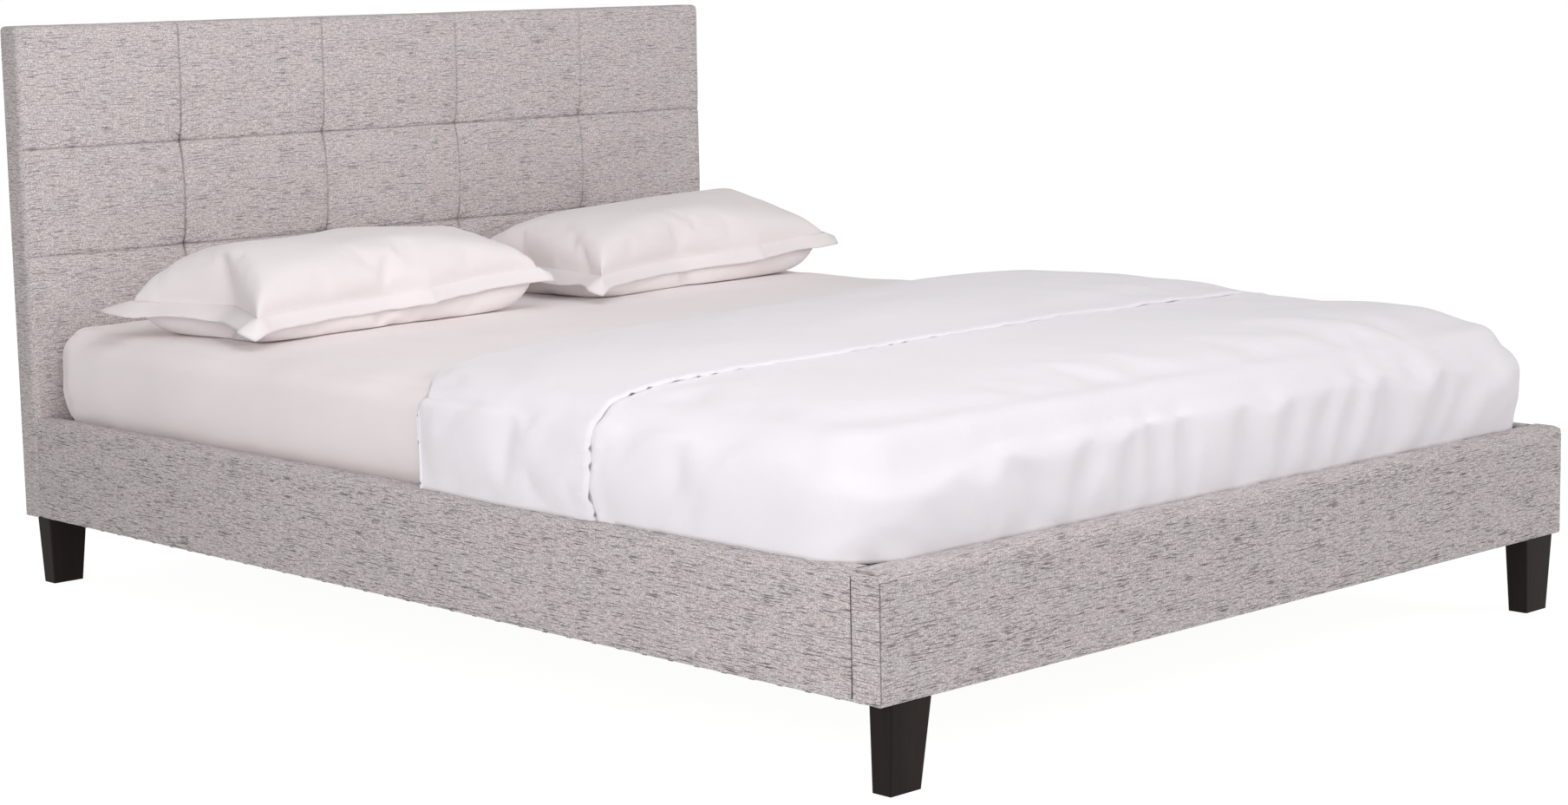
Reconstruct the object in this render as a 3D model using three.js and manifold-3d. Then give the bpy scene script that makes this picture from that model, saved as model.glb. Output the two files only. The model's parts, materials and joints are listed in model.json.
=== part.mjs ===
// A queen-size platform bed with upholstered rails and a tufted headboard, made up with bedding.
// Millimetres. X runs across the bed, Y from the foot to the head, Z up.
// The origin is on the floor, under the middle of the bed.

import * as THREE from "three";
import { mergeVertices } from "three/addons/utils/BufferGeometryUtils.js";
import Module from "manifold-3d";

const wasm = await Module();
wasm.setup();

// ---- Driving dimensions ------------------------------------------------------------------

// The mattress, and the room that the frame leaves around it
const mattressWidth = 1530;
const mattressLength = 2030;
const mattressThickness = 217;
const mattressSideGap = 9; // to each side rail
const mattressFootGap = 15; // where the bedding is tucked in
const mattressBelowRail = 60; // depth of the well that holds it
const mattressBulge = 17; // how far it swells out over each rail
const mattressCornerRadius = 75;
const mattressEdgeRadius = 34;

// Facets
const weldDistance = 1e-3; // corners this close are one
const arcSteps = 4; // round a quarter turn
const arrisSteps = 2; // round an eased arris
const rodSides = 12;
const twineSides = 6;
const padSides = 20;

// Clearances
const seat = 0.3; // between pieces that lie against each other
const overRail = 3; // between the rail tops and the bedding above them

// Upholstery
const clothThickness = 2; // cover cloth with its thin wadding
const bareStrip = 20; // board left bare under a rail, between the stapled hems

// Rails
const railHeight = 180;
const railEdgeRadius = 18; // outer top edge
const railInnerRadius = 6; // inner top edge
const railBoardDrop = 8; // padding over the top of a rail's board
const sideRailThickness = 36;
const sideBoardThickness = 25;
const footRailThickness = 55;
const footBoardThickness = 40;

// Headboard
const headboardTop = 1000;
const headboardThickness = 55;
const headboardEdgeRadius = 16;
const headboardHem = 32; // cloth turned on to the back
const backClothThickness = 0.7;
const backClothMargin = 15;
const plywoodThickness = 4;
const frameThickness = 27;
const stileWidth = 70;
const topRailHeight = 70;
const middleRailHeight = 60;
const middleRailBottom = 430;
const lowerRailHeight = 130;

// Tufting: sewn channels, drawn in where columns and rows of them cross
const tuftColumns = 5; // panels across the headboard
const tuftRowDrops = [218, 408]; // below the top of the headboard
const channelDepth = 4;
const channelReach = 13;
const pullDepth = 11;
const pullReach = 26;
const twineRadius = 1.5;

// Legs
const legHeight = 125;
const legTopWidth = 78;
const legTopDepth = 42;
const legInnerTaper = 15;
const legOuterTaper = 4;
const legFaceTaper = 7;
const legArris = 3;
const legInset = 22; // from the end of the rail
const legSetback = 3; // from the rail's face
const studRadius = 4;
const studLength = 35;
const studClearance = 0.5;

// Slats and what carries them
const slatCount = 13;
const slatWidth = 70;
const slatThickness = 18;
const slatEase = 3; // rounding of the long edges
const slatSideGap = 3;
const slatEndMargin = 60; // from each end of the well to the first slat
const ledgerWidth = 25;
const ledgerHeight = 40;
const webbingWidth = 30;
const webbingThickness = 1.2;
const webbingOffset = 560; // from the middle of the bed

// Steel corner brackets
const bracketLeaf = 45;
const bracketThickness = 4;
const bracketHeight = 80;
const bracketBottom = 138;

// Centre beam, its hangers and its legs
const beamWidth = 38;
const beamHeight = 70;
const hangerWall = 2.5;
const hangerReach = 40;
const hangerFlange = 22;
const postWidth = 45;
const postArris = 3;
const postSpread = 340; // each post from the middle of the bed
const footPadRadius = 24;
const footPadHeight = 9;
const footThreadRadius = 5;
const footThreadLength = 48;
const footThreadClearance = 0.4;
const footTravel = 14; // thread showing between pad and post

// Bedding
const duvetTop = 43; // loft over the mattress
const duvetSide = 15; // loft at the sides and foot
const duvetEdgeRound = 92;
const duvetNearReach = 930; // from the foot rail to its turned edge, on the left
const duvetFarReach = 1195; // the same, on the right
const duvetClearance = 1;
const pillowLength = 768;
const pillowDepth = 480;
const pillowHeight = 158; // of its crest over the mattress
const pillowSeamHeight = 60; // of the seam round its edge over the mattress
const pillowSquareness = 5; // of its outline in plan, where 2 is an oval
const pillowGap = 32; // between the two
const pillowShift = 12; // of the pair, towards the right
const pillowHeadGap = { left: 125, right: 60 }; // from the headboard to each back edge
const pillowTurn = THREE.MathUtils.degToRad(6);

// ---- Places worked out from them ---------------------------------------------------------

const bedWidth = mattressWidth + 2 * (mattressSideGap + sideRailThickness);
const wellLength = mattressLength + mattressFootGap;
const bedLength = footRailThickness + wellLength + headboardThickness;
const footFace = -bedLength / 2; // front of the foot rail
const wellFoot = footFace + footRailThickness;
const wellHead = wellFoot + wellLength; // front of the headboard
const wellHalfWidth = bedWidth / 2 - sideRailThickness;
const railBottom = legHeight;
const railTop = legHeight + railHeight;
const slatTop = railTop - mattressBelowRail - seat;
const slatBottom = slatTop - slatThickness;
const mattressBottom = railTop - mattressBelowRail;
const mattressTop = mattressBottom + mattressThickness;
const headboardBack = wellHead + headboardThickness;
const coverBack = headboardBack - backClothThickness - seat;
const lining = clothThickness + seat; // from a cover's outside to what it wraps
const frameBack = coverBack - lining;
const frameFront = frameBack - frameThickness;
const plywoodBack = frameFront - seat;
const plywoodFront = plywoodBack - plywoodThickness;
const foamBack = plywoodFront - seat;
const panelWidth = bedWidth / tuftColumns;
const duvetSlope = (duvetFarReach - duvetNearReach) / bedWidth; // of its turned edge
const halfTurnShare = 1 - Math.tan(Math.PI / 8); // of a radius, where an arc has turned 45 degrees

// ---- Materials ---------------------------------------------------------------------------

function finish(color, roughness, metalness = 0) {
  return new THREE.MeshStandardMaterial({ color, roughness, metalness });
}
const linen = finish(0xb9b1b1, 0.95);
const pine = finish(0xcfae7b, 0.7);
const plywood = finish(0xc39a64, 0.75);
const foam = finish(0xe8dfb8, 0.9);
const stainedWood = finish(0x2b2322, 0.45);
const steel = finish(0x56585b, 0.45, 0.9);
const blackPlastic = finish(0x1d1d1f, 0.6);
const dustCloth = finish(0x2a2a2c, 0.95);
const jute = finish(0xa98f68, 0.95);
const sheeting = finish(0xf2ecea, 0.85);
const duvetCotton = finish(0xf4eff3, 0.85);
const pillowCotton = finish(0xf7f4f3, 0.85);

// ---- Shape helpers -----------------------------------------------------------------------

// A closed geometry as a manifold-3d solid, with its shared corners merged.
function toSolid(geometry) {
  const bare = geometry.clone();
  bare.deleteAttribute("normal");
  bare.deleteAttribute("uv");
  const merged = mergeVertices(bare, weldDistance);
  const mesh = new wasm.Mesh({
    numProp: 3,
    vertProperties: new Float32Array(merged.attributes.position.array),
    triVerts: new Uint32Array(merged.index.array),
  });
  return new wasm.Manifold(mesh);
}

function toGeometry(solid) {
  const mesh = solid.getMesh();
  const geometry = new THREE.BufferGeometry();
  geometry.setAttribute("position", new THREE.BufferAttribute(mesh.vertProperties, 3));
  geometry.setIndex(new THREE.BufferAttribute(mesh.triVerts, 1));
  geometry.computeVertexNormals();
  return geometry;
}

function cut(body, ...tools) {
  return toGeometry(tools.reduce((rest, tool) => rest.subtract(toSolid(tool)), toSolid(body)));
}

function join(...parts) {
  return toGeometry(parts.map(toSolid).reduce((whole, part) => whole.add(part)));
}

function common(a, b) {
  return toGeometry(toSolid(a).intersect(toSolid(b)));
}

// A block between two limits along each axis.
function block([x0, x1], [y0, y1], [z0, z1]) {
  const box = new THREE.BoxGeometry(x1 - x0, y1 - y0, z1 - z0);
  return box.translate((x0 + x1) / 2, (y0 + y1) / 2, (z0 + z1) / 2);
}

// A rectangle between two limits each way.
function rectangle([x0, x1], [y0, y1]) {
  const shape = new THREE.Shape();
  shape.moveTo(x0, y0);
  shape.lineTo(x1, y0);
  shape.lineTo(x1, y1);
  shape.lineTo(x0, y1);
  shape.closePath();
  return shape;
}

// A rectangle about the origin, with rounded corners.
function roundedRectangle(width, height, radius) {
  const [w, h] = [width / 2 - radius, height / 2 - radius];
  const shape = new THREE.Shape();
  shape.absarc(w, -h, radius, -Math.PI / 2, 0);
  shape.absarc(w, h, radius, 0, Math.PI / 2);
  shape.absarc(-w, h, radius, Math.PI / 2, Math.PI);
  shape.absarc(-w, -h, radius, Math.PI, 1.5 * Math.PI);
  shape.closePath();
  return shape;
}

// A shape drawn flat, pushed up along Z.
function extrudeUp(shape, z0, z1, curveSegments = arcSteps) {
  const depth = z1 - z0;
  const geometry = new THREE.ExtrudeGeometry(shape, { depth, bevelEnabled: false, curveSegments });
  return geometry.translate(0, 0, z0);
}

const alongX = new THREE.Matrix4().makeBasis(
  new THREE.Vector3(0, 1, 0),
  new THREE.Vector3(0, 0, 1),
  new THREE.Vector3(1, 0, 0),
);
const alongY = new THREE.Matrix4().makeBasis(
  new THREE.Vector3(1, 0, 0),
  new THREE.Vector3(0, 0, 1),
  new THREE.Vector3(0, -1, 0),
);

// A shape drawn in Y and Z, pushed along X.
function extrudeAcross(shape, x0, x1, curveSegments) {
  return extrudeUp(shape, x0, x1, curveSegments).applyMatrix4(alongX);
}

// A shape drawn in X and Z, pushed along Y.
function extrudeAlong(shape, y0, y1, curveSegments) {
  return extrudeUp(shape, -y1, -y0, curveSegments).applyMatrix4(alongY);
}

// An upright round bar.
function rod(radius, z0, z1, sides = rodSides) {
  const bar = new THREE.CylinderGeometry(radius, radius, z1 - z0, sides);
  return bar.rotateX(Math.PI / 2).translate(0, 0, (z0 + z1) / 2);
}

function piece(name, geometry, material) {
  const mesh = new THREE.Mesh(geometry, material);
  mesh.name = name;
  return mesh;
}

function assembly(...members) {
  const group = new THREE.Group();
  group.add(...members);
  return group;
}

// The left or the right copy of what is modelled on the left.
function onSide(side, group) {
  group.scale.x = side === "left" ? 1 : -1;
  return group;
}

// ---- Upholstered rails -------------------------------------------------------------------

// A rail's section: u runs in from its outer face. Every face moves in by the inset.
function railSection(thickness, inset) {
  const [outside, inside] = [inset, thickness - inset];
  const [low, high] = [railBottom + inset, railTop - inset];
  const outer = Math.max(railEdgeRadius - inset, 1);
  const inner = Math.max(railInnerRadius - inset, 1);
  const shape = new THREE.Shape();
  shape.moveTo(outside, low);
  shape.lineTo(inside, low);
  shape.absarc(inside - inner, high - inner, inner, 0, Math.PI / 2);
  shape.absarc(outside + outer, high - outer, outer, Math.PI / 2, Math.PI);
  shape.closePath();
  return shape;
}

// The three layers of a rail, as sections pushed by the given function between two ends.
// Cloth wraps the rail and is stapled under it; foam lies on the board's face and top.
function railLayers(thickness, boardThickness, push, ends, closedEnds) {
  const trim = closedEnds ? lining : 0;
  const [start, end] = ends;
  const inner = [start + trim, end - trim];
  const beyond = closedEnds ? inner : [start - lining, end + lining];
  const strip = rectangle(
    [(thickness - bareStrip) / 2, (thickness + bareStrip) / 2],
    [railBottom - lining, railBottom + 2 * lining],
  );
  const clothInner = closedEnds ? [start + clothThickness, end - clothThickness] : beyond;
  const cover = cut(
    push(railSection(thickness, 0), ...ends),
    push(railSection(thickness, clothThickness), ...clothInner),
    push(strip, ...clothInner),
  );
  const boardInside = thickness - lining;
  const boardOutside = boardInside - boardThickness;
  const board = push(
    rectangle([boardOutside, boardInside], [railBottom + lining, railTop - lining - railBoardDrop]),
    ...inner,
  );
  const pocket = rectangle(
    [boardOutside - seat, thickness],
    [railBottom, railTop - lining - railBoardDrop + seat],
  );
  const padding = cut(
    push(railSection(thickness, lining), ...inner),
    push(pocket, inner[0] - lining, inner[1] + lining),
  );
  return { cover, board, padding };
}

// One side rail, with the ledger that carries the slats.
function sideRail(side) {
  const ends = [wellFoot + seat, wellHead - seat];
  const layers = railLayers(
    sideRailThickness,
    sideBoardThickness,
    (shape, start, end) => extrudeAlong(shape, start, end),
    ends,
    false,
  );
  const outerFace = -bedWidth / 2;
  const ledgerX = sideRailThickness + seat;
  const ledgerTop = slatBottom - seat;
  const ledger = block(
    [ledgerX, ledgerX + ledgerWidth],
    [wellFoot + bracketLeaf + slatSideGap, wellHead - bracketLeaf - slatSideGap],
    [ledgerTop - ledgerHeight, ledgerTop],
  );
  const rail = assembly(
    piece(`side_rail_cover_${side}`, layers.cover, linen),
    piece(`side_rail_board_${side}`, layers.board, pine),
    piece(`side_rail_foam_${side}`, layers.padding, foam),
    piece(`slat_ledger_${side}`, ledger, pine),
  );
  rail.position.x = outerFace;
  return onSide(side, assembly(rail));
}

// The foot rail runs the full width, in front of the side rails.
function footRail() {
  const layers = railLayers(
    footRailThickness,
    footBoardThickness,
    (shape, start, end) => extrudeAcross(shape, start, end),
    [-bedWidth / 2, bedWidth / 2],
    true,
  );
  const board = [-1, 1].reduce((rest, side) => {
    const hole = rod(studRadius + studClearance, 0, railBottom + studLength + seat);
    return cut(rest, hole.translate(side * legX, legTopDepth / 2 + legSetback, 0));
  }, layers.board);
  const rail = assembly(
    piece("foot_rail_cover", layers.cover, linen),
    piece("foot_rail_board", board, pine),
    piece("foot_rail_foam", layers.padding, foam),
  );
  rail.position.y = footFace;
  return rail;
}

// ---- Headboard ---------------------------------------------------------------------------

const tuftX = Array.from({ length: tuftColumns - 1 }, (_, i) => (i + 1) * panelWidth - bedWidth / 2);
const tuftZ = tuftRowDrops.map((drop) => headboardTop - drop).sort((a, b) => a - b);

function nearest(value, places) {
  return Math.min(...places.map((place) => Math.abs(value - place)));
}

// How far the face lies behind its crown: a channel along each seam, a dimple at each crossing.
function tuftDepth(x, z) {
  const [dx, dz] = [nearest(x, tuftX), nearest(z, tuftZ)];
  const channel = channelDepth * Math.exp(-((Math.min(dx, dz) / channelReach) ** 2));
  const pull = pullDepth * Math.exp(-(dx * dx + dz * dz) / pullReach ** 2);
  return channel + pull;
}

// Grid lines across a padded face: close together at its edges and at each seam.
function faceLines(low, high, roundLow, radius, seams) {
  const arc = radius * halfTurnShare;
  const lines = [low, high, high - radius, high - arc];
  if (roundLow) lines.push(low + radius, low + arc);
  for (const seam of seams) {
    for (const reach of [0, channelReach, 2 * pullReach]) lines.push(seam - reach, seam + reach);
  }
  const marks = [low, ...seams, high];
  for (let i = 1; i < marks.length; i++) lines.push((marks[i - 1] + marks[i]) / 2);
  return [...new Set(lines)].sort((a, b) => a - b);
}

// A block whose front and side edges are rounded and whose face is tufted. Its sides, top and
// face lie inside the headboard's by the inset.
function paddedBlock(inset, back) {
  const radius = Math.max(headboardEdgeRadius - inset, 1);
  const half = bedWidth / 2 - inset;
  const [low, high] = [railBottom + inset, headboardTop - inset];
  const front = wellHead + inset;
  const xs = faceLines(-half, half, true, radius, tuftX);
  const zs = faceLines(low, high, false, radius, tuftZ);
  const ys = [front, front + radius * halfTurnShare, front + radius, back];
  const box = new THREE.BoxGeometry(1, 1, 1, xs.length - 1, ys.length - 1, zs.length - 1);
  const line = (lines, share) => lines[Math.round((share + 0.5) * (lines.length - 1))];
  const place = box.getAttribute("position");
  const point = new THREE.Vector3();
  const core = new THREE.Vector3();
  for (let i = 0; i < place.count; i++) {
    point.set(line(xs, place.getX(i)), line(ys, place.getY(i)), line(zs, place.getZ(i)));
    core.set(
      THREE.MathUtils.clamp(point.x, -half + radius, half - radius),
      Math.max(point.y, front + radius),
      Math.min(point.z, high - radius),
    );
    const out = point.clone().sub(core);
    out.clampLength(0, radius);
    const facing = -out.y / radius; // 1 on the face, 0 round the edge
    point.copy(core).add(out);
    point.y += facing * tuftDepth(point.x, point.z);
    place.setXYZ(i, point.x, point.y, point.z);
  }
  return box;
}

// The tufted cover: sewn cloth drawn over face, sides, top and underside, and hemmed at the back.
function headboardCover() {
  const opening = block(
    [-bedWidth / 2 + headboardHem, bedWidth / 2 - headboardHem],
    [coverBack - 2 * lining, coverBack + lining],
    [railBottom + headboardHem, headboardTop - headboardHem],
  );
  const studHoles = [-1, 1].map((side) => legHole(side * legX, headLegY));
  const shell = paddedBlock(clothThickness, coverBack - clothThickness);
  return cut(paddedBlock(0, coverBack), shell, opening, ...studHoles);
}

function legHole(x, y) {
  return rod(studRadius + studClearance, 0, railBottom + studLength + seat).translate(x, y, 0);
}

// The outline of what the cover holds, with its two rounded top corners.
function headboardOutline(y0, y1) {
  const radius = Math.max(headboardEdgeRadius - lining, 1);
  const half = bedWidth / 2 - lining;
  const [low, high] = [railBottom + lining, headboardTop - lining];
  const shape = new THREE.Shape();
  shape.moveTo(-half, low);
  shape.lineTo(half, low);
  shape.absarc(half - radius, high - radius, radius, 0, Math.PI / 2);
  shape.absarc(-half + radius, high - radius, radius, Math.PI / 2, Math.PI);
  shape.closePath();
  return extrudeAlong(shape, y0, y1);
}

function twineHoles(radius) {
  return tuftX.flatMap((x) =>
    tuftZ.map((z) => {
      const hole = rod(radius, -headboardThickness, headboardThickness, twineSides);
      return hole.rotateX(Math.PI / 2).translate(x, wellHead, z);
    }),
  );
}

// The pine frame behind the plywood: two stiles with three rails between them.
function headboardFrame() {
  const half = bedWidth / 2 - lining;
  const [low, high] = [railBottom + lining, headboardTop - lining];
  const depth = [frameFront, frameBack];
  const outline = headboardOutline(frameFront, frameBack);
  const between = [-half + stileWidth + seat, half - stileWidth - seat];
  const stile = (side) => {
    const limits = side < 0 ? [-half, -half + stileWidth] : [half - stileWidth, half];
    return common(cut(block(limits, depth, [low, high]), legHole(side * legX, headLegY)), outline);
  };
  return assembly(
    piece("headboard_stile_left", stile(-1), pine),
    piece("headboard_stile_right", stile(1), pine),
    piece("headboard_top_rail", block(between, depth, [high - topRailHeight, high]), pine),
    piece(
      "headboard_middle_rail",
      block(between, depth, [middleRailBottom, middleRailBottom + middleRailHeight]),
      pine,
    ),
    piece(
      "headboard_lower_rail",
      cut(
        block(between, depth, [low, low + lowerRailHeight]),
        legHole(-legX, headLegY),
        legHole(legX, headLegY),
      ),
      pine,
    ),
  );
}

// One length of twine that dives through foam and plywood to hold each tuft down.
function tuftTwine() {
  const runY = plywoodBack + seat + twineRadius;
  const runs = tuftZ.map((z) => {
    const run = rod(twineRadius, tuftX[0] - twineRadius, tuftX.at(-1) + twineRadius, twineSides);
    return run.applyMatrix4(alongX).translate(0, runY, z);
  });
  const link = rod(twineRadius, tuftZ[0], tuftZ.at(-1), twineSides).translate(tuftX[0], runY, 0);
  const stems = tuftX.flatMap((x) =>
    tuftZ.map((z) => {
      const nose = wellHead + lining + tuftDepth(x, z);
      const stem = rod(twineRadius, -runY, -nose, twineSides);
      return stem.rotateX(Math.PI / 2).translate(x, 0, z);
    }),
  );
  return join(...runs, link, ...stems);
}

function headboard() {
  const holeRadius = twineRadius + studClearance;
  const face = cut(headboardOutline(plywoodFront, plywoodBack), ...twineHoles(holeRadius));
  const backCloth = block(
    [-bedWidth / 2 + backClothMargin, bedWidth / 2 - backClothMargin],
    [coverBack + seat, headboardBack],
    [railBottom + backClothMargin, headboardTop - backClothMargin],
  );
  return assembly(
    piece("headboard_cover", headboardCover(), linen),
    piece("headboard_foam", cut(paddedBlock(lining, foamBack), ...twineHoles(holeRadius)), foam),
    piece("headboard_plywood", face, plywood),
    piece("tuft_twine", tuftTwine(), jute),
    headboardFrame(),
    piece("headboard_back_cloth", backCloth, dustCloth),
  );
}

// ---- Legs --------------------------------------------------------------------------------

const legX = bedWidth / 2 - legInset - legTopWidth / 2;
const headLegY = headboardBack - legSetback - legTopDepth / 2;
const footLegY = footFace + legSetback + legTopDepth / 2;

// A tapered leg for the left front corner, with the stud that screws it into the rail.
function legGeometry() {
  const section = roundedRectangle(legTopWidth, legTopDepth, legArris);
  const top = legHeight - seat;
  const post = extrudeUp(section, 0, top, arrisSteps);
  const place = post.getAttribute("position");
  for (let i = 0; i < place.count; i++) {
    const down = 1 - place.getZ(i) / top;
    const across = place.getX(i) / legTopWidth + 0.5; // 0 at the outer side
    const back = place.getY(i) / legTopDepth + 0.5; // 0 at the face
    const x = place.getX(i) + down * (legOuterTaper * (1 - across) - legInnerTaper * across);
    const y = place.getY(i) + down * legFaceTaper * (1 - back);
    place.setXYZ(i, x, y, place.getZ(i));
  }
  return join(post, rod(studRadius, top - studLength / 2, top + studLength));
}

function legs() {
  const geometry = legGeometry();
  const corners = [
    ["leg_foot_left", -1, footLegY, 1],
    ["leg_foot_right", 1, footLegY, 1],
    ["leg_head_left", -1, headLegY, -1],
    ["leg_head_right", 1, headLegY, -1],
  ];
  return assembly(
    ...corners.map(([name, side, y, facing]) => {
      const leg = piece(name, geometry, stainedWood);
      leg.position.set(side * legX, y, 0);
      leg.scale.set(-side, facing, 1);
      return leg;
    }),
  );
}

// ---- Corner brackets ---------------------------------------------------------------------

// A steel angle in the left foot corner of the well, against the side rail and the foot rail.
function bracketGeometry() {
  const shape = new THREE.Shape();
  shape.moveTo(0, 0);
  shape.lineTo(bracketLeaf, 0);
  shape.lineTo(bracketLeaf, bracketThickness);
  shape.lineTo(2 * bracketThickness, bracketThickness);
  shape.absarc(
    2 * bracketThickness,
    2 * bracketThickness,
    bracketThickness,
    1.5 * Math.PI,
    Math.PI,
    true,
  );
  shape.lineTo(bracketThickness, bracketLeaf);
  shape.lineTo(0, bracketLeaf);
  shape.closePath();
  return extrudeUp(shape, bracketBottom, bracketBottom + bracketHeight);
}

function cornerBrackets() {
  const geometry = bracketGeometry();
  const corners = [
    ["corner_bracket_foot_left", -1, wellFoot + seat, 1],
    ["corner_bracket_foot_right", 1, wellFoot + seat, 1],
    ["corner_bracket_head_left", -1, wellHead - seat, -1],
    ["corner_bracket_head_right", 1, wellHead - seat, -1],
  ];
  return assembly(
    ...corners.map(([name, side, y, facing]) => {
      const bracket = piece(name, geometry, steel);
      bracket.position.set(side * (wellHalfWidth - seat), y, 0);
      bracket.scale.set(-side, facing, 1);
      return bracket;
    }),
  );
}

// ---- Slats -------------------------------------------------------------------------------

function slats() {
  const half = wellHalfWidth - slatSideGap;
  const section = roundedRectangle(slatWidth, slatThickness, slatEase);
  const geometry = extrudeAcross(section, -half, half, arrisSteps);
  const first = wellFoot + slatEndMargin + slatWidth / 2;
  const last = wellHead - slatEndMargin - slatWidth / 2;
  const pitch = (last - first) / (slatCount - 1);
  const row = Array.from({ length: slatCount }, (_, i) => {
    const slat = piece(`slat_${String(i + 1).padStart(2, "0")}`, geometry, pine);
    slat.position.set(0, first + i * pitch, (slatTop + slatBottom) / 2);
    return slat;
  });
  return assembly(...row);
}

// Two straps stapled under the slats keep their spacing.
function webbing() {
  const high = slatBottom - seat;
  const strap = block(
    [-webbingWidth / 2, webbingWidth / 2],
    [wellFoot + slatEndMargin, wellHead - slatEndMargin],
    [high - webbingThickness, high],
  );
  return assembly(
    ...["left", "right"].map((side) => {
      const mesh = piece(`slat_webbing_${side}`, strap, jute);
      mesh.position.x = side === "left" ? -webbingOffset : webbingOffset;
      return mesh;
    }),
  );
}

// ---- Centre beam -------------------------------------------------------------------------

const beamTop = slatBottom - seat;
const beamBottom = beamTop - beamHeight;

// A pressed steel stirrup on the foot rail, which takes the end of the beam.
function hangerGeometry() {
  const inside = beamWidth / 2 + seat;
  const outside = inside + hangerWall;
  const [low, high] = [beamBottom - seat - hangerWall, beamTop - seat];
  const plate = block(
    [-outside - hangerFlange, outside + hangerFlange],
    [0, hangerWall],
    [low, high],
  );
  const trough = cut(
    block([-outside, outside], [0, hangerReach], [low, high]),
    block(
      [-inside, inside],
      [hangerWall, hangerReach + hangerWall],
      [beamBottom - seat, high + hangerWall],
    ),
  );
  return join(plate, trough);
}

function centreBeam() {
  const gap = seat + hangerWall + seat;
  const beam = block(
    [-beamWidth / 2, beamWidth / 2],
    [wellFoot + gap, wellHead - gap],
    [beamBottom, beamTop],
  );
  const footHanger = piece("beam_hanger_foot", hangerGeometry(), steel);
  footHanger.position.y = wellFoot + seat;
  const headHanger = piece("beam_hanger_head", hangerGeometry(), steel);
  headHanger.position.y = wellHead - seat;
  headHanger.scale.y = -1;
  return assembly(piece("centre_beam", beam, pine), footHanger, headHanger);
}

// A post under the beam, bored for the thread of its levelling foot.
function centreLegs() {
  const postTop = beamBottom - seat;
  const postBottom = footPadHeight + footTravel;
  const bore = rod(footThreadRadius + footThreadClearance, 0, postBottom + footThreadLength);
  const post = cut(
    extrudeUp(roundedRectangle(postWidth, postWidth, postArris), postBottom, postTop, arrisSteps),
    bore,
  );
  const foot = join(
    rod(footPadRadius, 0, footPadHeight, padSides),
    rod(footThreadRadius, footPadHeight / 2, footPadHeight + footThreadLength),
  );
  const places = [
    ["foot", -postSpread],
    ["head", postSpread],
  ];
  return assembly(
    ...places.map(([end, y]) => {
      const leg = assembly(
        piece(`centre_leg_${end}`, post, pine),
        piece(`levelling_foot_${end}`, foot, blackPlastic),
      );
      leg.position.y = (wellFoot + wellHead) / 2 + y;
      return leg;
    }),
  );
}

// ---- Bedding -----------------------------------------------------------------------------

// A soft slab with rounded corners in plan and rounded edges above and below.
function softSlab(width, length, cornerRadius, [z0, z1], edge) {
  const corner = Math.max(cornerRadius - edge, 1);
  const shape = roundedRectangle(width - 2 * edge, length - 2 * edge, corner);
  const slab = new THREE.ExtrudeGeometry(shape, {
    depth: z1 - z0 - 2 * edge,
    bevelEnabled: true,
    bevelThickness: edge,
    bevelSize: edge,
    bevelSegments: arcSteps,
    curveSegments: arcSteps,
  });
  return slab.translate(0, 0, z0 + edge);
}

const mattressMiddle = wellHead - seat - mattressLength / 2;
const bulgeWidth = mattressWidth + 2 * mattressBulge;
const bulgeBottom = railTop + overRail;

// The mattress: it fills the well and swells out over the side rails.
function mattress() {
  const inWell = softSlab(
    mattressWidth,
    mattressLength,
    mattressCornerRadius,
    [mattressBottom, railTop + 2 * mattressEdgeRadius],
    mattressEdgeRadius / 2,
  );
  const above = softSlab(
    bulgeWidth,
    mattressLength,
    mattressCornerRadius,
    [bulgeBottom, mattressTop],
    mattressEdgeRadius,
  );
  return join(inWell, above).translate(0, mattressMiddle, 0);
}

// The duvet hangs over both sides and the foot, down to the rails. Its turned edge lies askew.
function duvet() {
  const width = bulgeWidth + 2 * (duvetSide + duvetClearance);
  const footEnd = wellFoot + overRail;
  const top = mattressTop + duvetTop;
  const length = wellHead - footEnd;
  const corner = mattressCornerRadius + duvetSide;
  const below = railTop - duvetEdgeRound;
  const quilt = softSlab(width, length, corner, [below, top], duvetEdgeRound);
  quilt.translate(0, footEnd + length / 2, 0);
  const hollow = softSlab(
    bulgeWidth + 2 * duvetClearance,
    mattressLength + 2 * duvetClearance,
    mattressCornerRadius + duvetClearance,
    [bulgeBottom - 2 * mattressEdgeRadius, mattressTop + seat],
    mattressEdgeRadius,
  );
  hollow.translate(0, mattressMiddle, 0);
  const past = bedWidth;
  const underside = block([-past, past], [-bedLength, bedLength], [0, bulgeBottom]);
  const beyondEdge = new THREE.Shape();
  beyondEdge.moveTo(-past, wellFoot + duvetNearReach - duvetSlope * (past - bedWidth / 2));
  beyondEdge.lineTo(past, wellFoot + duvetFarReach + duvetSlope * (past - bedWidth / 2));
  beyondEdge.lineTo(past, 2 * bedLength);
  beyondEdge.lineTo(-past, 2 * bedLength);
  beyondEdge.closePath();
  return cut(quilt, hollow, underside, extrudeUp(beyondEdge, 0, headboardTop));
}

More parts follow.
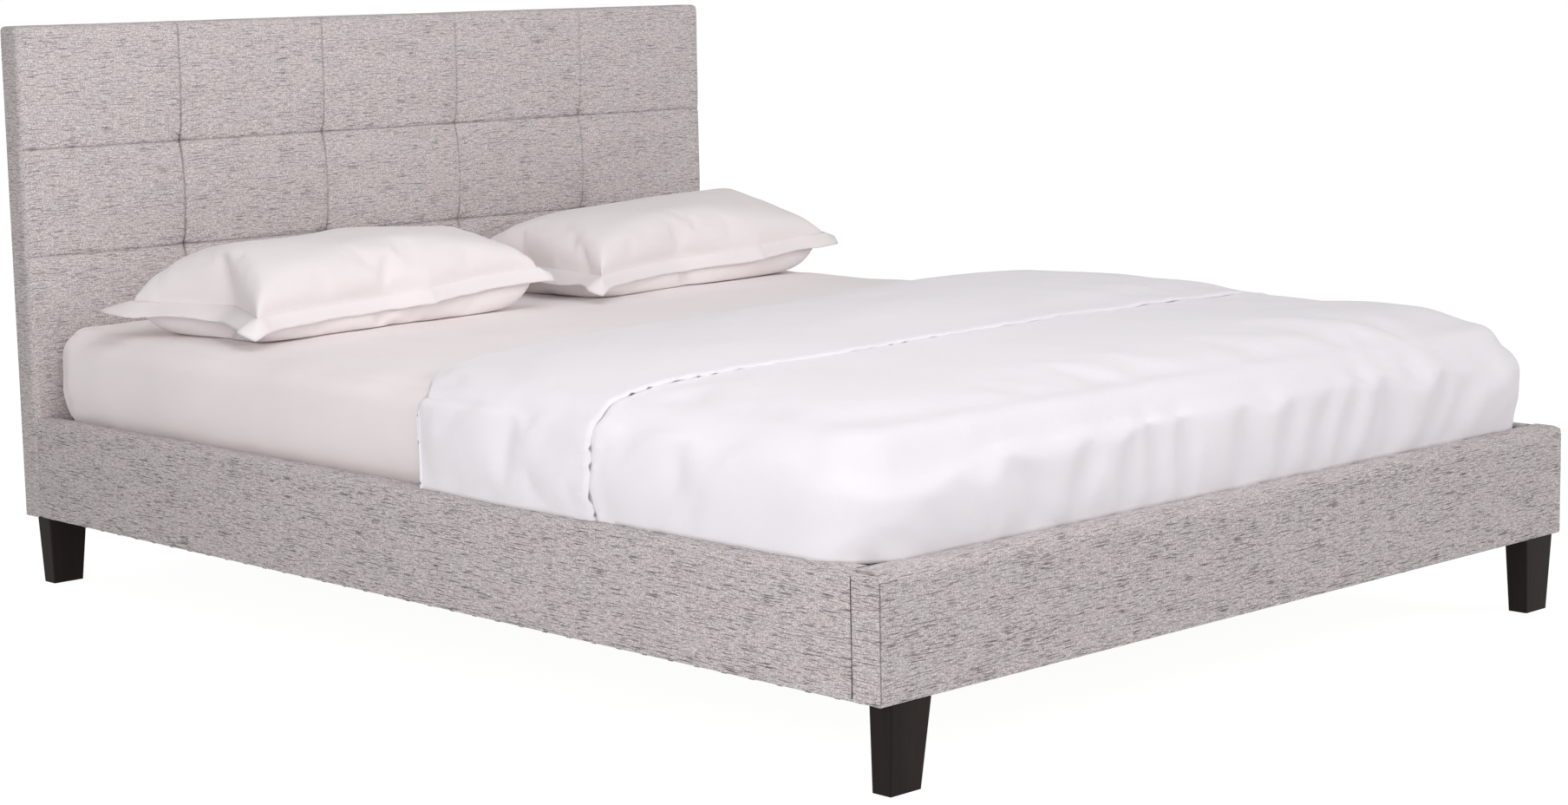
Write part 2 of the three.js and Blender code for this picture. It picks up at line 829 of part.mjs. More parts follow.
// A plump pillow: square-shouldered in plan, domed above, flat where it lies on the mattress.
function pillowGeometry() {
  const ball = new THREE.SphereGeometry(1, 8 * arcSteps, 3 * arcSteps).rotateX(Math.PI / 2);
  const place = ball.getAttribute("position");
  const dome = pillowHeight - pillowSeamHeight;
  for (let i = 0; i < place.count; i++) {
    const [x, y, z] = [place.getX(i), place.getY(i), place.getZ(i)];
    const reach = Math.hypot(x, y) || 1;
    const bulk = Math.abs(x / reach) ** pillowSquareness + Math.abs(y / reach) ** pillowSquareness;
    const shoulder = (bulk || 1) ** (-1 / pillowSquareness);
    place.setXYZ(
      i,
      (x * shoulder * pillowLength) / 2,
      (y * shoulder * pillowDepth) / 2,
      Math.max(z * dome, -pillowSeamHeight),
    );
  }
  return ball;
}

function pillows() {
  const geometry = pillowGeometry();
  const fromMiddle = (pillowLength + pillowGap) / 2;
  return ["left", "right"].map((side) => {
    const pillow = piece(`pillow_${side}`, geometry, pillowCotton);
    pillow.position.set(
      pillowShift + (side === "left" ? -fromMiddle : fromMiddle),
      wellHead - pillowHeadGap[side] - pillowDepth / 2,
      mattressTop + seat + pillowSeamHeight,
    );
    pillow.rotation.z = pillowTurn;
    return pillow;
  });
}

// ---- The bed -----------------------------------------------------------------------------

const bed = assembly(
  headboard(),
  sideRail("left"),
  sideRail("right"),
  footRail(),
  legs(),
  cornerBrackets(),
  centreBeam(),
  centreLegs(),
  slats(),
  webbing(),
  piece("mattress", mattress(), sheeting),
  piece("duvet", duvet(), duvetCotton),
  ...pillows(),
);

export default bed;
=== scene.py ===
# %% [markdown]
# # An upholstered bed, made up
#
# The frame of this bed comes in ready packed: its boards, slats, irons and legs are plain solids of
# the right size and in their places. This lesson gives the bed what the eye sees: linen over foam,
# a tufted headboard, stained legs, a mattress in its fitted sheet, a duvet turned back at the head
# and two pillows. Lengths are in metres. X runs across the bed, Y from foot to head, and Z up.

# %% Load the frame
import json
import math
from itertools import product

import bmesh
import bpy
from mathutils import Matrix, Vector, noise


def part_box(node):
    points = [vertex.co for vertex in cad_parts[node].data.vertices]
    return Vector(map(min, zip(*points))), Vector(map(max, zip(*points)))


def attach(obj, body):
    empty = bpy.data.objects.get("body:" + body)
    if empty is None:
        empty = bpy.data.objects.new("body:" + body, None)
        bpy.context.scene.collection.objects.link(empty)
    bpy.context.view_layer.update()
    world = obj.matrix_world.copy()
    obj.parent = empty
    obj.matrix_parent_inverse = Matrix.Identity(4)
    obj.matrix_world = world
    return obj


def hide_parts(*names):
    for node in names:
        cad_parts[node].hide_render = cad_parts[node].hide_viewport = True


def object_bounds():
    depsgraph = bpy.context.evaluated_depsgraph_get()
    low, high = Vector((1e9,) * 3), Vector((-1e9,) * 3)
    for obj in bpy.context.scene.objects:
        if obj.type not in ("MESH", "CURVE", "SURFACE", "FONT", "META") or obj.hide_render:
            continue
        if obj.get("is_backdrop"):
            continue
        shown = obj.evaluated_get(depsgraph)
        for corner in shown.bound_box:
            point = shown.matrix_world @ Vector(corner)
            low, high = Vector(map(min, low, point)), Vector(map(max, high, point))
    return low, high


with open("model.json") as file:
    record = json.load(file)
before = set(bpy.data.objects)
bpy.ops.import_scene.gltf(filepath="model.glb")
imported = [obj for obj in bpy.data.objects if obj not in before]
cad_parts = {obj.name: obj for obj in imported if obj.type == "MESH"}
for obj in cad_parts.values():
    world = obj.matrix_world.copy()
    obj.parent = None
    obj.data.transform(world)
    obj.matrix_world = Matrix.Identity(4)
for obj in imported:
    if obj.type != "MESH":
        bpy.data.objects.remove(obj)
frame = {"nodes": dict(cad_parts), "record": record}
cad_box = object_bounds()
scene = bpy.context.scene

# %% [markdown]
# ## Sizes taken from the frame
#
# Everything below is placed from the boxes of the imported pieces, so the cloth still fits after the
# frame changes.

# %% Sizes
MM = 0.001
rail_low, rail_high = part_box("foot_rail_cover")
head_low, head_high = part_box("headboard_cover")
mattress_low, mattress_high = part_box("mattress")
duvet_low, duvet_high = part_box("duvet")
half_width = rail_high.x
rail_bottom, rail_top = rail_low.z, rail_high.z
mattress_top = mattress_high.z
print(f"bed {2 * half_width:.3f} wide, rails {rail_top:.3f} and mattress {mattress_top:.3f} high")

# %% [markdown]
# ## The camera
#
# Furniture is usually shown from past one foot corner, a little above the mattress, through a lens
# long enough to keep the rails from splaying. Three turns aim the camera: a heading across the bed,
# a dip towards the floor and a slight roll.

# %% Camera
def add_object(name, data):
    added = bpy.data.objects.new(name, data)
    scene.collection.objects.link(added)
    return added


def aim_camera(place, heading, dip, roll, focal_share):
    """A camera whose lens is focal_share times as long as its sensor is wide."""
    level = Vector((math.sin(heading), math.cos(heading), 0))
    forward = level * math.cos(dip) - Vector((0, 0, math.sin(dip)))
    right = Vector((math.cos(heading), -math.sin(heading), 0))
    up = right.cross(forward)
    rolled_right = right * math.cos(roll) + up * math.sin(roll)
    rolled_up = up * math.cos(roll) - right * math.sin(roll)
    turn = Matrix((rolled_right, rolled_up, -forward)).transposed()
    data = bpy.data.cameras.new("camera")
    data.sensor_width = 36
    data.lens = data.sensor_width * focal_share
    scene.camera = add_object("camera", data)
    scene.camera.matrix_world = Matrix.Translation(place) @ turn.to_4x4()


aim_camera(
    place=Vector((-3.5674, -3.7834, 1.0941)),
    heading=math.radians(43.777),
    dip=math.radians(8.300),
    roll=math.radians(-1.046),
    focal_share=1.9440,
)
print("camera lens", round(scene.camera.data.lens, 1), "mm")

# %% [markdown]
# ## Shader arithmetic
#
# A fabric is a sum of small patterns, and long chains of Math nodes are hard to read. `Link` wraps
# a shader socket, so that an expression such as `1 - mask * 0.5` adds its nodes by itself. Any
# other node comes from its method `node`.

# %% Link class
class Link:
    """A shader socket that takes part in Python arithmetic."""

    def __init__(self, socket):
        self.socket = socket

    def node(self, kind, settings=None, inputs=None, output=0):
        """Adds a node beside this socket: its settings first, then its inputs."""
        tree = self.socket.id_data
        made = tree.nodes.new(kind)
        for name, value in (settings or {}).items():
            setattr(made, name, value)
        for name, value in (inputs or {}).items():
            if isinstance(value, Link):
                tree.links.new(value.socket, made.inputs[name])
            else:
                made.inputs[name].default_value = value
        return Link(made.outputs[output])

    def math(self, operation, other, clamp=False):
        settings = {"operation": operation, "use_clamp": clamp}
        return self.node("ShaderNodeMath", settings, {0: self, 1: other})

    def __add__(self, other):
        return self.math("ADD", other)

    def __sub__(self, other):
        return self.math("SUBTRACT", other)

    def __mul__(self, other):
        return self.math("MULTIPLY", other)

    def __rsub__(self, other):
        return self * -1 + other

    __radd__ = __add__
    __rmul__ = __mul__

    def limit(self):
        """The value kept between 0 and 1."""
        return self.math("ADD", 0.0, clamp=True)

    def stretch(self, x, y, z=1.0):
        """A vector scaled along each axis."""
        settings = {"operation": "MULTIPLY"}
        return self.node("ShaderNodeVectorMath", settings, {0: self, 1: (x, y, z)})

    def speckle(self, detail=2.0, roughness=0.5):
        """Cloudy noise from 0 to 1 at this vector."""
        inputs = {"Vector": self, "Scale": 1.0, "Detail": detail, "Roughness": roughness}
        return self.node("ShaderNodeTexNoise", None, inputs)

    def step(self, low, high):
        """A soft step: 0 below low, 1 above high."""
        settings = {"interpolation_type": "SMOOTHSTEP"}
        inputs = {"Value": self, "From Min": low, "From Max": high}
        return self.node("ShaderNodeMapRange", settings, inputs)

    def blend(self, first, second):
        """A colour between two others, by this value."""
        factor, one, two, result = 0, 6, 7, 2
        inputs = {factor: self, one: first, two: second}
        return self.node("ShaderNodeMix", {"data_type": "RGBA"}, inputs, result)


class Finish:
    """A material under way: its coordinates, and what is wired into its shader."""

    def __init__(self, name, roughness, **constants):
        self.material = bpy.data.materials.new(name)
        self.material.use_nodes = True
        self.shader = self.material.node_tree.nodes["Principled BSDF"]
        self.shader.inputs["Roughness"].default_value = roughness
        for socket, value in constants.items():
            self.shader.inputs[socket.replace("_", " ")].default_value = value
        self.start = Link(self.shader.outputs[0])

    def place(self):
        """The object's own coordinates, in metres."""
        return self.start.node("ShaderNodeTexCoord", output=3)

    def weave(self):
        """Along and across the grain of the cloth, in metres."""
        return self.start.node("ShaderNodeUVMap", {"uv_map": "weave"})

    def mark(self, name):
        """A value stored in the mesh, such as how far a point lies in a seam."""
        return self.start.node("ShaderNodeAttribute", {"attribute_name": name}, output=2)

    def wire(self, socket, link):
        self.material.node_tree.links.new(link.socket, self.shader.inputs[socket])

    def raise_surface(self, height, depth):
        """Wires a height from 0 to 1 as a relief of the given depth."""
        inputs = {"Height": height, "Distance": depth, "Strength": 1.0}
        self.wire("Normal", self.start.node("ShaderNodeBump", None, inputs))


def opaque(red, green, blue):
    return (red, green, blue, 1.0)


print("shader helpers ready")

# %% [markdown]
# ## Linen
#
# The cover cloth has a pale warp and an unevenly dyed weft, so thin dark slubs run across the bolt
# in loose clusters. A picture of cloth would repeat, and noise stretched at three scales doesn't.
# It lies in the cloth's own coordinates, so that the grain turns with it on every face of a rail.
# The headboard gets a quieter length of the bolt, with fainter slubs, to keep its seams readable.

# %% Linen
def linen_finish(name, slubs):
    finish = Finish(name, 0.95, Sheen_Weight=0.08, Sheen_Roughness=0.6)
    weave = finish.weave()
    weft = weave.stretch(90, 480).speckle(2.0, 0.6)
    warp = weave.stretch(430, 150).speckle(2.0, 0.6)
    grain = weave.stretch(370, 450).speckle(2.0, 0.7)
    slub = weave.stretch(26, 520).speckle(1.0, 0.5)
    fleck = weave.stretch(70, 560).speckle(1.0, 0.5)
    cluster = weave.stretch(9, 26).speckle(2.0, 0.6)
    tone = weave.stretch(13, 21).speckle(3.0, 0.6).step(0.38, 0.62)
    streak = (slub + cluster * 0.20).step(0.680, 0.760)
    short = (fleck + cluster * 0.14).step(0.650, 0.740)
    thread = weft.step(0.36, 0.62) * 0.30 + warp.step(0.38, 0.62) * 0.20
    thread = thread + grain.step(0.38, 0.62) * 0.50
    light = tone.blend(opaque(0.872, 0.785, 0.776), opaque(0.858, 0.788, 0.782))
    dark = tone.blend(opaque(0.280, 0.246, 0.248), opaque(0.270, 0.246, 0.251))
    body = thread.blend(dark, light)
    dyed = (streak * slubs + short * (slubs - 0.16)).limit()
    slubbed = dyed.blend(body, opaque(0.130, 0.114, 0.121))
    # Marked points are darkened: the seam line at the rail ends, and on the headboard the seam line
    # with painted shade in its seams and pulls.
    seam_line_and_shade = (finish.mark("seam") * 0.80).limit().blend(slubbed, opaque(0.060, 0.053, 0.056))
    finish.wire("Base Color", seam_line_and_shade)
    finish.raise_surface(weft * 0.4 + warp * 0.25 + grain * 0.35 - streak * 0.2, 0.6 * MM)
    return finish.material


LINEN = linen_finish("linen", 0.76)
QUIET_LINEN = linen_finish("quiet_linen", 0.54)
print("linens:", LINEN.name, QUIET_LINEN.name)

# %% [markdown]
# ## Bed linen
#
# Sheet, duvet cover and pillowcases are closely woven cotton. From a step away the weave is only a
# soft grain, and what makes cotton look real is a trace of crumple between the folds and a matt,
# slightly warm white. One function makes all the cloths, each with its own white.

# %% Cotton
def cotton_finish(name, white, shade, crumple):
    finish = Finish(name, 0.92, Sheen_Weight=0.15, Sheen_Roughness=0.5)
    place = finish.place()
    cloud = place.stretch(5, 5, 5).speckle(2.0, 0.5)
    threads = place.stretch(900, 900, 900).speckle(1.0, 0.5)
    creases = place.stretch(26, 26, 26).speckle(3.0, 0.55)
    worn = (cloud.step(0.35, 0.7) * 0.7 + threads * 0.3).blend(white, shade)
    # Marked points are darkened: the pillows' stitch line, and painted shade in the gaping openings
    # of the duvet's hem.
    stitch_line_and_shade = (finish.mark("seam") * 0.55).blend(worn, opaque(0.42, 0.38, 0.39))
    finish.wire("Base Color", stitch_line_and_shade)
    finish.raise_surface(creases * 0.9 + threads * 0.1, crumple)
    return finish.material


COTTONS = {
    "sheeting": (opaque(0.95, 0.875, 0.875), opaque(0.92, 0.845, 0.845), 1.2 * MM),
    "duvet_cotton": (opaque(0.93, 0.895, 0.935), opaque(0.90, 0.865, 0.905), 1.6 * MM),
    "pillow_cotton": (opaque(0.88, 0.820, 0.822), opaque(0.85, 0.790, 0.792), 1.6 * MM),
    "ticking": (opaque(0.70, 0.69, 0.67), opaque(0.64, 0.63, 0.62), 1.5 * MM),
}
FINISHES = {name: cotton_finish(name, *look) for name, look in COTTONS.items()}
print("cottons:", ", ".join(COTTONS))

# %% [markdown]
# ## Wood
#
# Legs, slats and boards differ only in colour, gloss and the way the grain runs. Noise stretched
# along the grain gives fibres, and a slower one gives the bands of early and late wood. The grain
# axis is a setting, because a slat is sawn along X and a rail's board along Y.

# %% Wood finishes
def wood_finish(name, pale, dark, grain, roughness, shine=0.5):
    finish = Finish(name, roughness, Specular_IOR_Level=shine)
    fibre = [9.0 if axis == grain else 260.0 for axis in range(3)]
    band = [1.3 if axis == grain else 22.0 for axis in range(3)]
    fibres = finish.place().stretch(*fibre).speckle(3.0, 0.6)
    bands = finish.place().stretch(*band).speckle(3.0, 0.5)
    amount = bands.step(0.35, 0.68) * 0.62 + fibres * 0.38
    finish.wire("Base Color", amount.limit().blend(pale, dark))
    finish.wire("Roughness", fibres * 0.16 + (roughness - 0.08))
    finish.raise_surface(fibres, 0.15 * MM)
    return finish.material


PINES = [
    wood_finish(f"pine_{way}", opaque(0.70, 0.50, 0.29), opaque(0.48, 0.29, 0.13), axis, 0.6)
    for axis, way in enumerate(("across", "along", "up"))
]
WOODS = {
    "plywood": (opaque(0.60, 0.42, 0.24), opaque(0.42, 0.27, 0.13), 2, 0.7),
    "stained_wood": (opaque(0.021, 0.014, 0.012), opaque(0.010, 0.007, 0.0065), 2, 0.55, 0.12),
}
FINISHES.update({name: wood_finish(name, *look) for name, look in WOODS.items()})
print("woods:", ", ".join(WOODS), "and pine in", len(PINES), "directions")

# %% [markdown]
# ## Steel, plastic, foam and webbing
#
# The parts under the bed are seldom seen, yet they catch light: dark lacquered steel, black moulded
# plastic, open-celled foam, jute webbing, and the thin dust cloth on the back of the headboard.
# Fine noise gives each its grain, in colour, gloss and relief.

# %% Plain finishes
def grained_finish(name, pale, dark, scale, roughness, relief, metallic=0.0):
    finish = Finish(name, roughness, Metallic=metallic)
    grain = finish.place().stretch(scale, scale, scale).speckle(3.0, 0.6)
    finish.wire("Base Color", grain.step(0.3, 0.7).blend(pale, dark))
    finish.wire("Roughness", grain * 0.2 + (roughness - 0.1))
    finish.raise_surface(grain, relief)
    return finish.material


GRAINED = {
    "steel": (opaque(0.12, 0.12, 0.13), opaque(0.075, 0.075, 0.082), 700, 0.42, 0.06 * MM, 0.6),
    "foot_plastic": (opaque(0.02, 0.02, 0.021), opaque(0.012, 0.012, 0.013), 900, 0.55, 0.05 * MM),
    "foam": (opaque(0.86, 0.80, 0.60), opaque(0.74, 0.67, 0.46), 420, 0.95, 0.4 * MM),
    "jute": (opaque(0.46, 0.35, 0.20), opaque(0.25, 0.18, 0.10), 380, 0.9, 0.3 * MM),
    "back_cloth": (opaque(0.052, 0.052, 0.055), opaque(0.022, 0.022, 0.024), 520, 0.95, 0.2 * MM),
}
FINISHES.update({name: grained_finish(name, *look) for name, look in GRAINED.items()})
FINISHES["linen"] = LINEN
print("finishes:", ", ".join(FINISHES))

# %% [markdown]
# ## Finishes for the frame's own pieces
#
# The boards, slats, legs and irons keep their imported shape, so each only swaps its plain colour for
# the finish above that its material slot names. Pine needs to know which way a piece is sawn.

# %% Assign finishes
NODE_SLOTS = {part["node"]: part["material_slot"] for part in frame["record"]["subparts"]}


def pine_for(name):
    """The pine finish whose grain runs along the piece's longest side."""
    low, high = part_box(name)
    return PINES[max(range(3), key=lambda axis: (high - low)[axis])]


for name, node in frame["nodes"].items():
    slot = NODE_SLOTS[name]
    node.data.materials.clear()
    node.data.materials.append(pine_for(name) if slot == "pine" else FINISHES[slot])
print("finishes given to", len(frame["nodes"]), "nodes")

# %% [markdown]
# ## The studio
#
# The bed stands on a plain white floor between two broad lamps, one at its near side and one far
# off at the other foot corner. Smaller lamps lift the foot corner, the bedding and the headboard,
# and an even dome fills in the rest. That dome is dimmer than the white that the camera sees behind
# the bed, so the background stays white and the pale linen keeps its shading. The floor does the
# same: to the camera it adds some white of its own, and the shadow still shows on it.

# %% Studio
WHITE = opaque(1, 1, 1)
scene.view_settings.view_transform = "Standard"


def seen_directly(start):
    """1 for rays that show the background itself: the camera's, mirrored or through glass."""
    outputs = start.node("ShaderNodeLightPath").socket.node.outputs
    rays = [Link(outputs[f"Is {name} Ray"]) for name in ("Camera", "Glossy", "Transmission")]
    return rays[0].math("MAXIMUM", rays[1]).math("MAXIMUM", rays[2])


def mix_white(start, kind, strength, factor, output):
    """Adds white light to a world or a surface, for the rays that the factor picks."""
    white = start.node(kind, None, {"Color": WHITE, "Strength": strength})
    mixed = start.node("ShaderNodeMixShader", None, {0: factor, 1: start, 2: white})
    start.socket.id_data.links.new(mixed.socket, output.inputs["Surface"])


def make_world(dome, backdrop):
    world = bpy.data.worlds.new("studio")
    world.use_nodes = True
    nodes = world.node_tree.nodes
    light = nodes["Background"]
    light.inputs["Color"].default_value = WHITE
    light.inputs["Strength"].default_value = dome
    start = Link(light.outputs[0])
    mix_white(start, "ShaderNodeBackground", backdrop, seen_directly(start), nodes["World Output"])
    scene.world = world


def add_mesh(name, bm, finish):
    """Turns a bmesh into an object with its finish."""
    mesh = bpy.data.meshes.new(name)
    bm.to_mesh(mesh)
    bm.free()
    mesh.materials.append(finish)
    return add_object(name, mesh)


def make_floor(size, own_white, share):
    finish = Finish("floor", 0.9, Base_Color=opaque(0.88, 0.88, 0.88), Specular_IOR_Level=0.0)
    output = finish.material.node_tree.nodes["Material Output"]
    rays = seen_directly(finish.start) * share
    mix_white(finish.start, "ShaderNodeEmission", own_white, rays, output)
    bm = bmesh.new()
    bmesh.ops.create_grid(bm, x_segments=1, y_segments=1, size=size / 2)
    floor = add_mesh("floor", bm, finish.material)
    floor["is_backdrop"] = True


def hang_lamp(name, place, target, size, power):
    data = bpy.data.lights.new(name, "AREA")
    data.shape = "RECTANGLE"
    data.size, data.size_y = size
    data.energy = power
    lamp = add_object(name, data)
    lamp.location = place
    lamp.rotation_euler = (Vector(target) - Vector(place)).to_track_quat("-Z", "Y").to_euler()
    lamp.visible_camera = False


make_world(dome=0.32, backdrop=1.0)
make_floor(size=60, own_white=1.22, share=0.78)
hang_lamp("near_side", (-4.4, -2.0, 1.6), (0, 0, 0.4), (2.4, 1.8), 60)
hang_lamp("far_front", (5.4, -6.5, 3.5), (0, 0, 0.4), (4.0, 3.0), 202)
hang_lamp("low_corner", (-3.0, -3.6, 0.8), (0, 0, 0.5), (2.0, 1.0), 15)
hang_lamp("over_bed", (0, 0, 3.6), (0, 0, 0.4), (3.0, 3.0), 9)
hang_lamp("over_pillows", (-0.9, -1.2, 2.4), (-0.2, 1.0, 0.7), (1.6, 1.0), 19)
print("studio lit by", [lamp.name for lamp in bpy.data.lights])

# %% [markdown]
# ## Curves
#
# Hand-made cloth is never quite even, and its seams and folds fade out softly. Four curves describe
# that: a ramp, a smooth ramp, a bell, and slow lumps.

# %% Curves
def ramp(value, low, high):
    return max(0.0, min(1.0, (value - low) / (high - low)))


def smooth(value, low, high):
    t = ramp(value, low, high)
    return t * t * (3 - 2 * t)


def bell(distance, width):
    """1 at no distance, falling off to either side."""
    return math.exp(-((distance / width) ** 2))


def lumps(point, scale, seed=0.0):
    """Slow, seeded unevenness from about -1 to 1."""
    return noise.noise(Vector(point) * scale + Vector((seed, 0, 0))) * 1.6


print("bell:", [round(bell(step, 1), 2) for step in range(4)])

# %% [markdown]
# ## Covers
#
# A cover is a box of cloth with soft edges. Small helpers shape all of them: one spaces the lines
# of a mesh so that they crowd where a surface turns, one bends a square corner round a radius, and
# one lays the grain of the cloth over the finished shape.

# %% Shaping helpers
# Each face of a box is (axis, which way it faces).
SIDES = ((0, -1), (0, 1))
FOOT, HEAD = ((1, -1),), ((1, 1),)
UNDER, TOP = ((2, -1),), ((2, 1),)


def crowd(low, high, count, crowding=0.9):
    """Places from low to high that lie closer together towards both ends."""
    places = []
    for index in range(count + 1):
        t = 2 * index / count - 1
        eased = crowding * t * (3 - t * t) / 2 + (1 - crowding) * t
        places.append((low + high) / 2 + eased * (high - low) / 2)
    return places


def round_corner(point, low, high, corner, radius):
    """Bends the square edge at a corner, such as {1: -1, 2: 1} for foot and top, round a radius."""
    shares = {}
    for axis, side in corner.items():
        reach = (high[axis] - point[axis]) if side > 0 else (point[axis] - low[axis])
        shares[axis] = 1 - reach / radius
    a, b = shares.values()
    if a <= 0 or b <= 0:
        return
    bent = a * math.sqrt(max(0, 1 - b * b / 2)), b * math.sqrt(max(0, 1 - a * a / 2))
    for (axis, side), share in zip(corner.items(), bent):
        point[axis] += side * radius * (share - shares[axis])


def round_corners(point, low, high, faces, others, radius):
    """Rounds each corner between one of the faces and one of the others."""
    for face in faces:
        for other in others:
            round_corner(point, low, high, dict((face, other)), radius)


def map_weave(bm, grain, inward, bolt):
    """Lays a weave over a cover: u runs along the grain, v up the front and over the top."""
    layer = bm.loops.layers.uv.new("weave")
    inward = Vector(inward)
    front = min(vert.co.dot(inward) for vert in bm.verts)
    for face in bm.faces:
        ended = abs(face.normal[grain]) > 0.7
        side = math.copysign(1, face.normal[grain])
        for loop in face.loops:
            depth = loop.vert.co.dot(inward) - front
            along = loop.vert.co[grain] + (side * depth if ended else 0)
            across = loop.vert.co.z + (0 if ended else depth)
            loop[layer].uv = (along + bolt, across)


def make_piece(name, bm, finish, slot, body="frame", finer=0, thickness=0.0):
    """A finished object that rides on a body. Its thickness lies inside the outer face."""
    piece = add_mesh(name, bm, finish)
    piece.data.shade_smooth()
    if finer:
        subdivided = piece.modifiers.new("finer", "SUBSURF")
        subdivided.levels = subdivided.render_levels = finer
    if thickness:
        wall = piece.modifiers.new("wall", "SOLIDIFY")
        wall.thickness = thickness
        wall.offset = -1
    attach(piece, body)
    print(f"{name}: {len(piece.data.polygons)} faces")
    return piece


def face_out(bm):
    bmesh.ops.recalc_face_normals(bm, faces=bm.faces)


def verts_of(edges):
    return {vert for edge in edges for vert in edge.verts}


print("crowded lines:", [round(place, 2) for place in crowd(0, 1, 8)])

# %% [markdown]
# ## The tufted headboard
#
# The headboard is a frame with foam glued on a sheet of plywood and linen pulled over it. The linen
# is sewn from panels, and where four panels meet a twine pulls the seam down into the foam. One
# grid of cloth is enough for all of it: its lines crowd at every seam, its rim is pulled back over
# the edges, and each point then sinks by its distance from the seams and the pulls. A displacement
# texture could do the same, but a function of two distances stays exact at any size.

# %% Tufting
PANEL_WIDTH = 0.3185
PANEL_SHIFT = 0.003
SEAM_COLUMNS = [PANEL_SHIFT + PANEL_WIDTH * step for step in (-1.5, -0.5, 0.5, 1.5)]
SEAM_ROWS = [head_high.z - drop for drop in (0.408, 0.218)]
FRONT_RADIUS = 0.014
CORNER_RADIUS = 0.012
BACK_RADIUS = 0.004
LINEN_THICKNESS = 1.2 * MM


def sink(distance, reach, depth):
    """How far a point lies in, from a sharp valley at a seam to nothing at its reach."""
    return depth * max(0.0, 1 - distance / reach) ** 2


def nearest(value, places):
    return min((value - place for place in places), key=abs)


def radiate(across, up):
    """Small creases that fan out from a pull, strongest along the level seam."""
    distance = math.hypot(across, up)
    angle = math.atan2(up, across)
    fan = math.sin(7 * angle + 2.5 * noise.noise(Vector((angle, distance * 30, 1.5))))
    level = 0.55 + 0.45 * abs(math.cos(angle))
    return 0.0011 * fan * bell(distance - 0.019, 0.014) * level


def tuft(point, normal):
    """(how far the cloth sinks here, how dark it is drawn from 0 to 1: a seam line with painted
    shade, darkest near the pulls and in a dot at each pull).
    """
    across = nearest(point.x, SEAM_COLUMNS)
    up = nearest(point.z, SEAM_ROWS)
    over_top = max(0.0, 1 - (point.y - head_low.y) / 0.045)
    facing = max(0.0, -normal.y)
    away = math.hypot(across, up)
    # Columns sink deeper towards the left end, and their seams are drawn darker there too: that
    # darkening is painted shade.
    tight = 0.78 - 0.42 * point.x / half_width
    column = sink(abs(across), 0.070, 0.0018) + sink(abs(across), 0.010, 0.0030)
    row = facing * 0.8 * (sink(abs(up), 0.070, 0.0020) + sink(abs(up), 0.010, 0.0030))
    pull = facing * (sink(away, 0.105, 0.0096) + sink(away, 0.032, 0.0048))
    # Painted shade: seam lines are drawn darker near each pull, where they sink deepest.
    shade_near_pull = 0.55 + 0.45 * bell(away, 0.035)
    # The seam mark is a thin seam line plus painted shade; its last term paints a dark dot in each
    # pull's dimple.
    seam = max(
        shade_near_pull * tight * over_top * bell(across, 0.0016),
        shade_near_pull * 0.95 * facing * bell(up, 0.0017),
        1.25 * tight * facing * bell(away, 0.0046),
    )
    sunk = max(over_top * tight * column, row)
    return sunk + pull + facing * radiate(across, up), seam


# %% Headboard cover
def grid_of(columns, rows):
    """A sheet standing in the XZ plane, with its lines at the given places."""
    bm = bmesh.new()
    bmesh.ops.create_grid(bm, x_segments=len(columns) - 1, y_segments=len(rows) - 1, size=0.5)
    for index, vert in enumerate(bm.verts):
        vert.co = (columns[index % len(columns)], 0, rows[index // len(columns)])
    return bm


def pull_rim(bm, rim, move):
    """Extrudes the rim of a sheet, and returns its new rim."""
    grown = bmesh.ops.extrude_edge_only(bm, edges=rim)["geom"]
    verts = {item for item in grown if isinstance(item, bmesh.types.BMVert)}
    bmesh.ops.translate(bm, verts=list(verts), vec=move)
    edges = [item for item in grown if isinstance(item, bmesh.types.BMEdge)]
    return [edge for edge in edges if set(edge.verts) <= verts]


def sew_headboard():
    columns, rows = [], []
    xs = [head_low.x, *SEAM_COLUMNS, head_high.x]
    zs = [head_low.z, *SEAM_ROWS, head_high.z]
    for places, ends, counts in ((columns, xs, (46,) * 5), (rows, zs, (40, 38, 42))):
        for low, high, count in zip(ends, ends[1:], counts):
            places.extend(crowd(low, high, count)[:-1])
        places.append(ends[-1])
    bm = grid_of(columns, rows)
    bmesh.ops.translate(bm, verts=bm.verts, vec=(0, head_low.y, 0))
    rim = [edge for edge in bm.edges if edge.is_boundary]
    depths = crowd(head_low.y, head_high.y, 14)
    for before, after in zip(depths, depths[1:]):
        rim = pull_rim(bm, rim, (0, after - before, 0))
    hem = 0.032
    rim = pull_rim(bm, rim, (0, 0, 0))
    for vert in verts_of(rim):
        vert.co.x = min(max(vert.co.x, head_low.x + hem), head_high.x - hem)
        vert.co.z = min(max(vert.co.z, head_low.z + hem), head_high.z - hem)
    bmesh.ops.remove_doubles(bm, verts=bm.verts, dist=1e-6)
    for vert in bm.verts:
        for edge, radius in ((FOOT, FRONT_RADIUS), (HEAD, BACK_RADIUS)):
            round_corners(vert.co, head_low, head_high, SIDES + UNDER + TOP, edge, radius)
        round_corners(vert.co, head_low, head_high, SIDES, TOP, CORNER_RADIUS)
    face_out(bm)
    return bm


def press_seams(bm, depth_at):
    """Sinks every point along its normal, and stores how dark its seam is drawn: a seam line, with
    painted shade on the headboard.
    """
    bm.normal_update()
    seams = bm.verts.layers.float.new("seam")
    for vert in bm.verts:
        depth, vert[seams] = depth_at(vert.co, vert.normal)
        vert.co -= vert.normal * depth


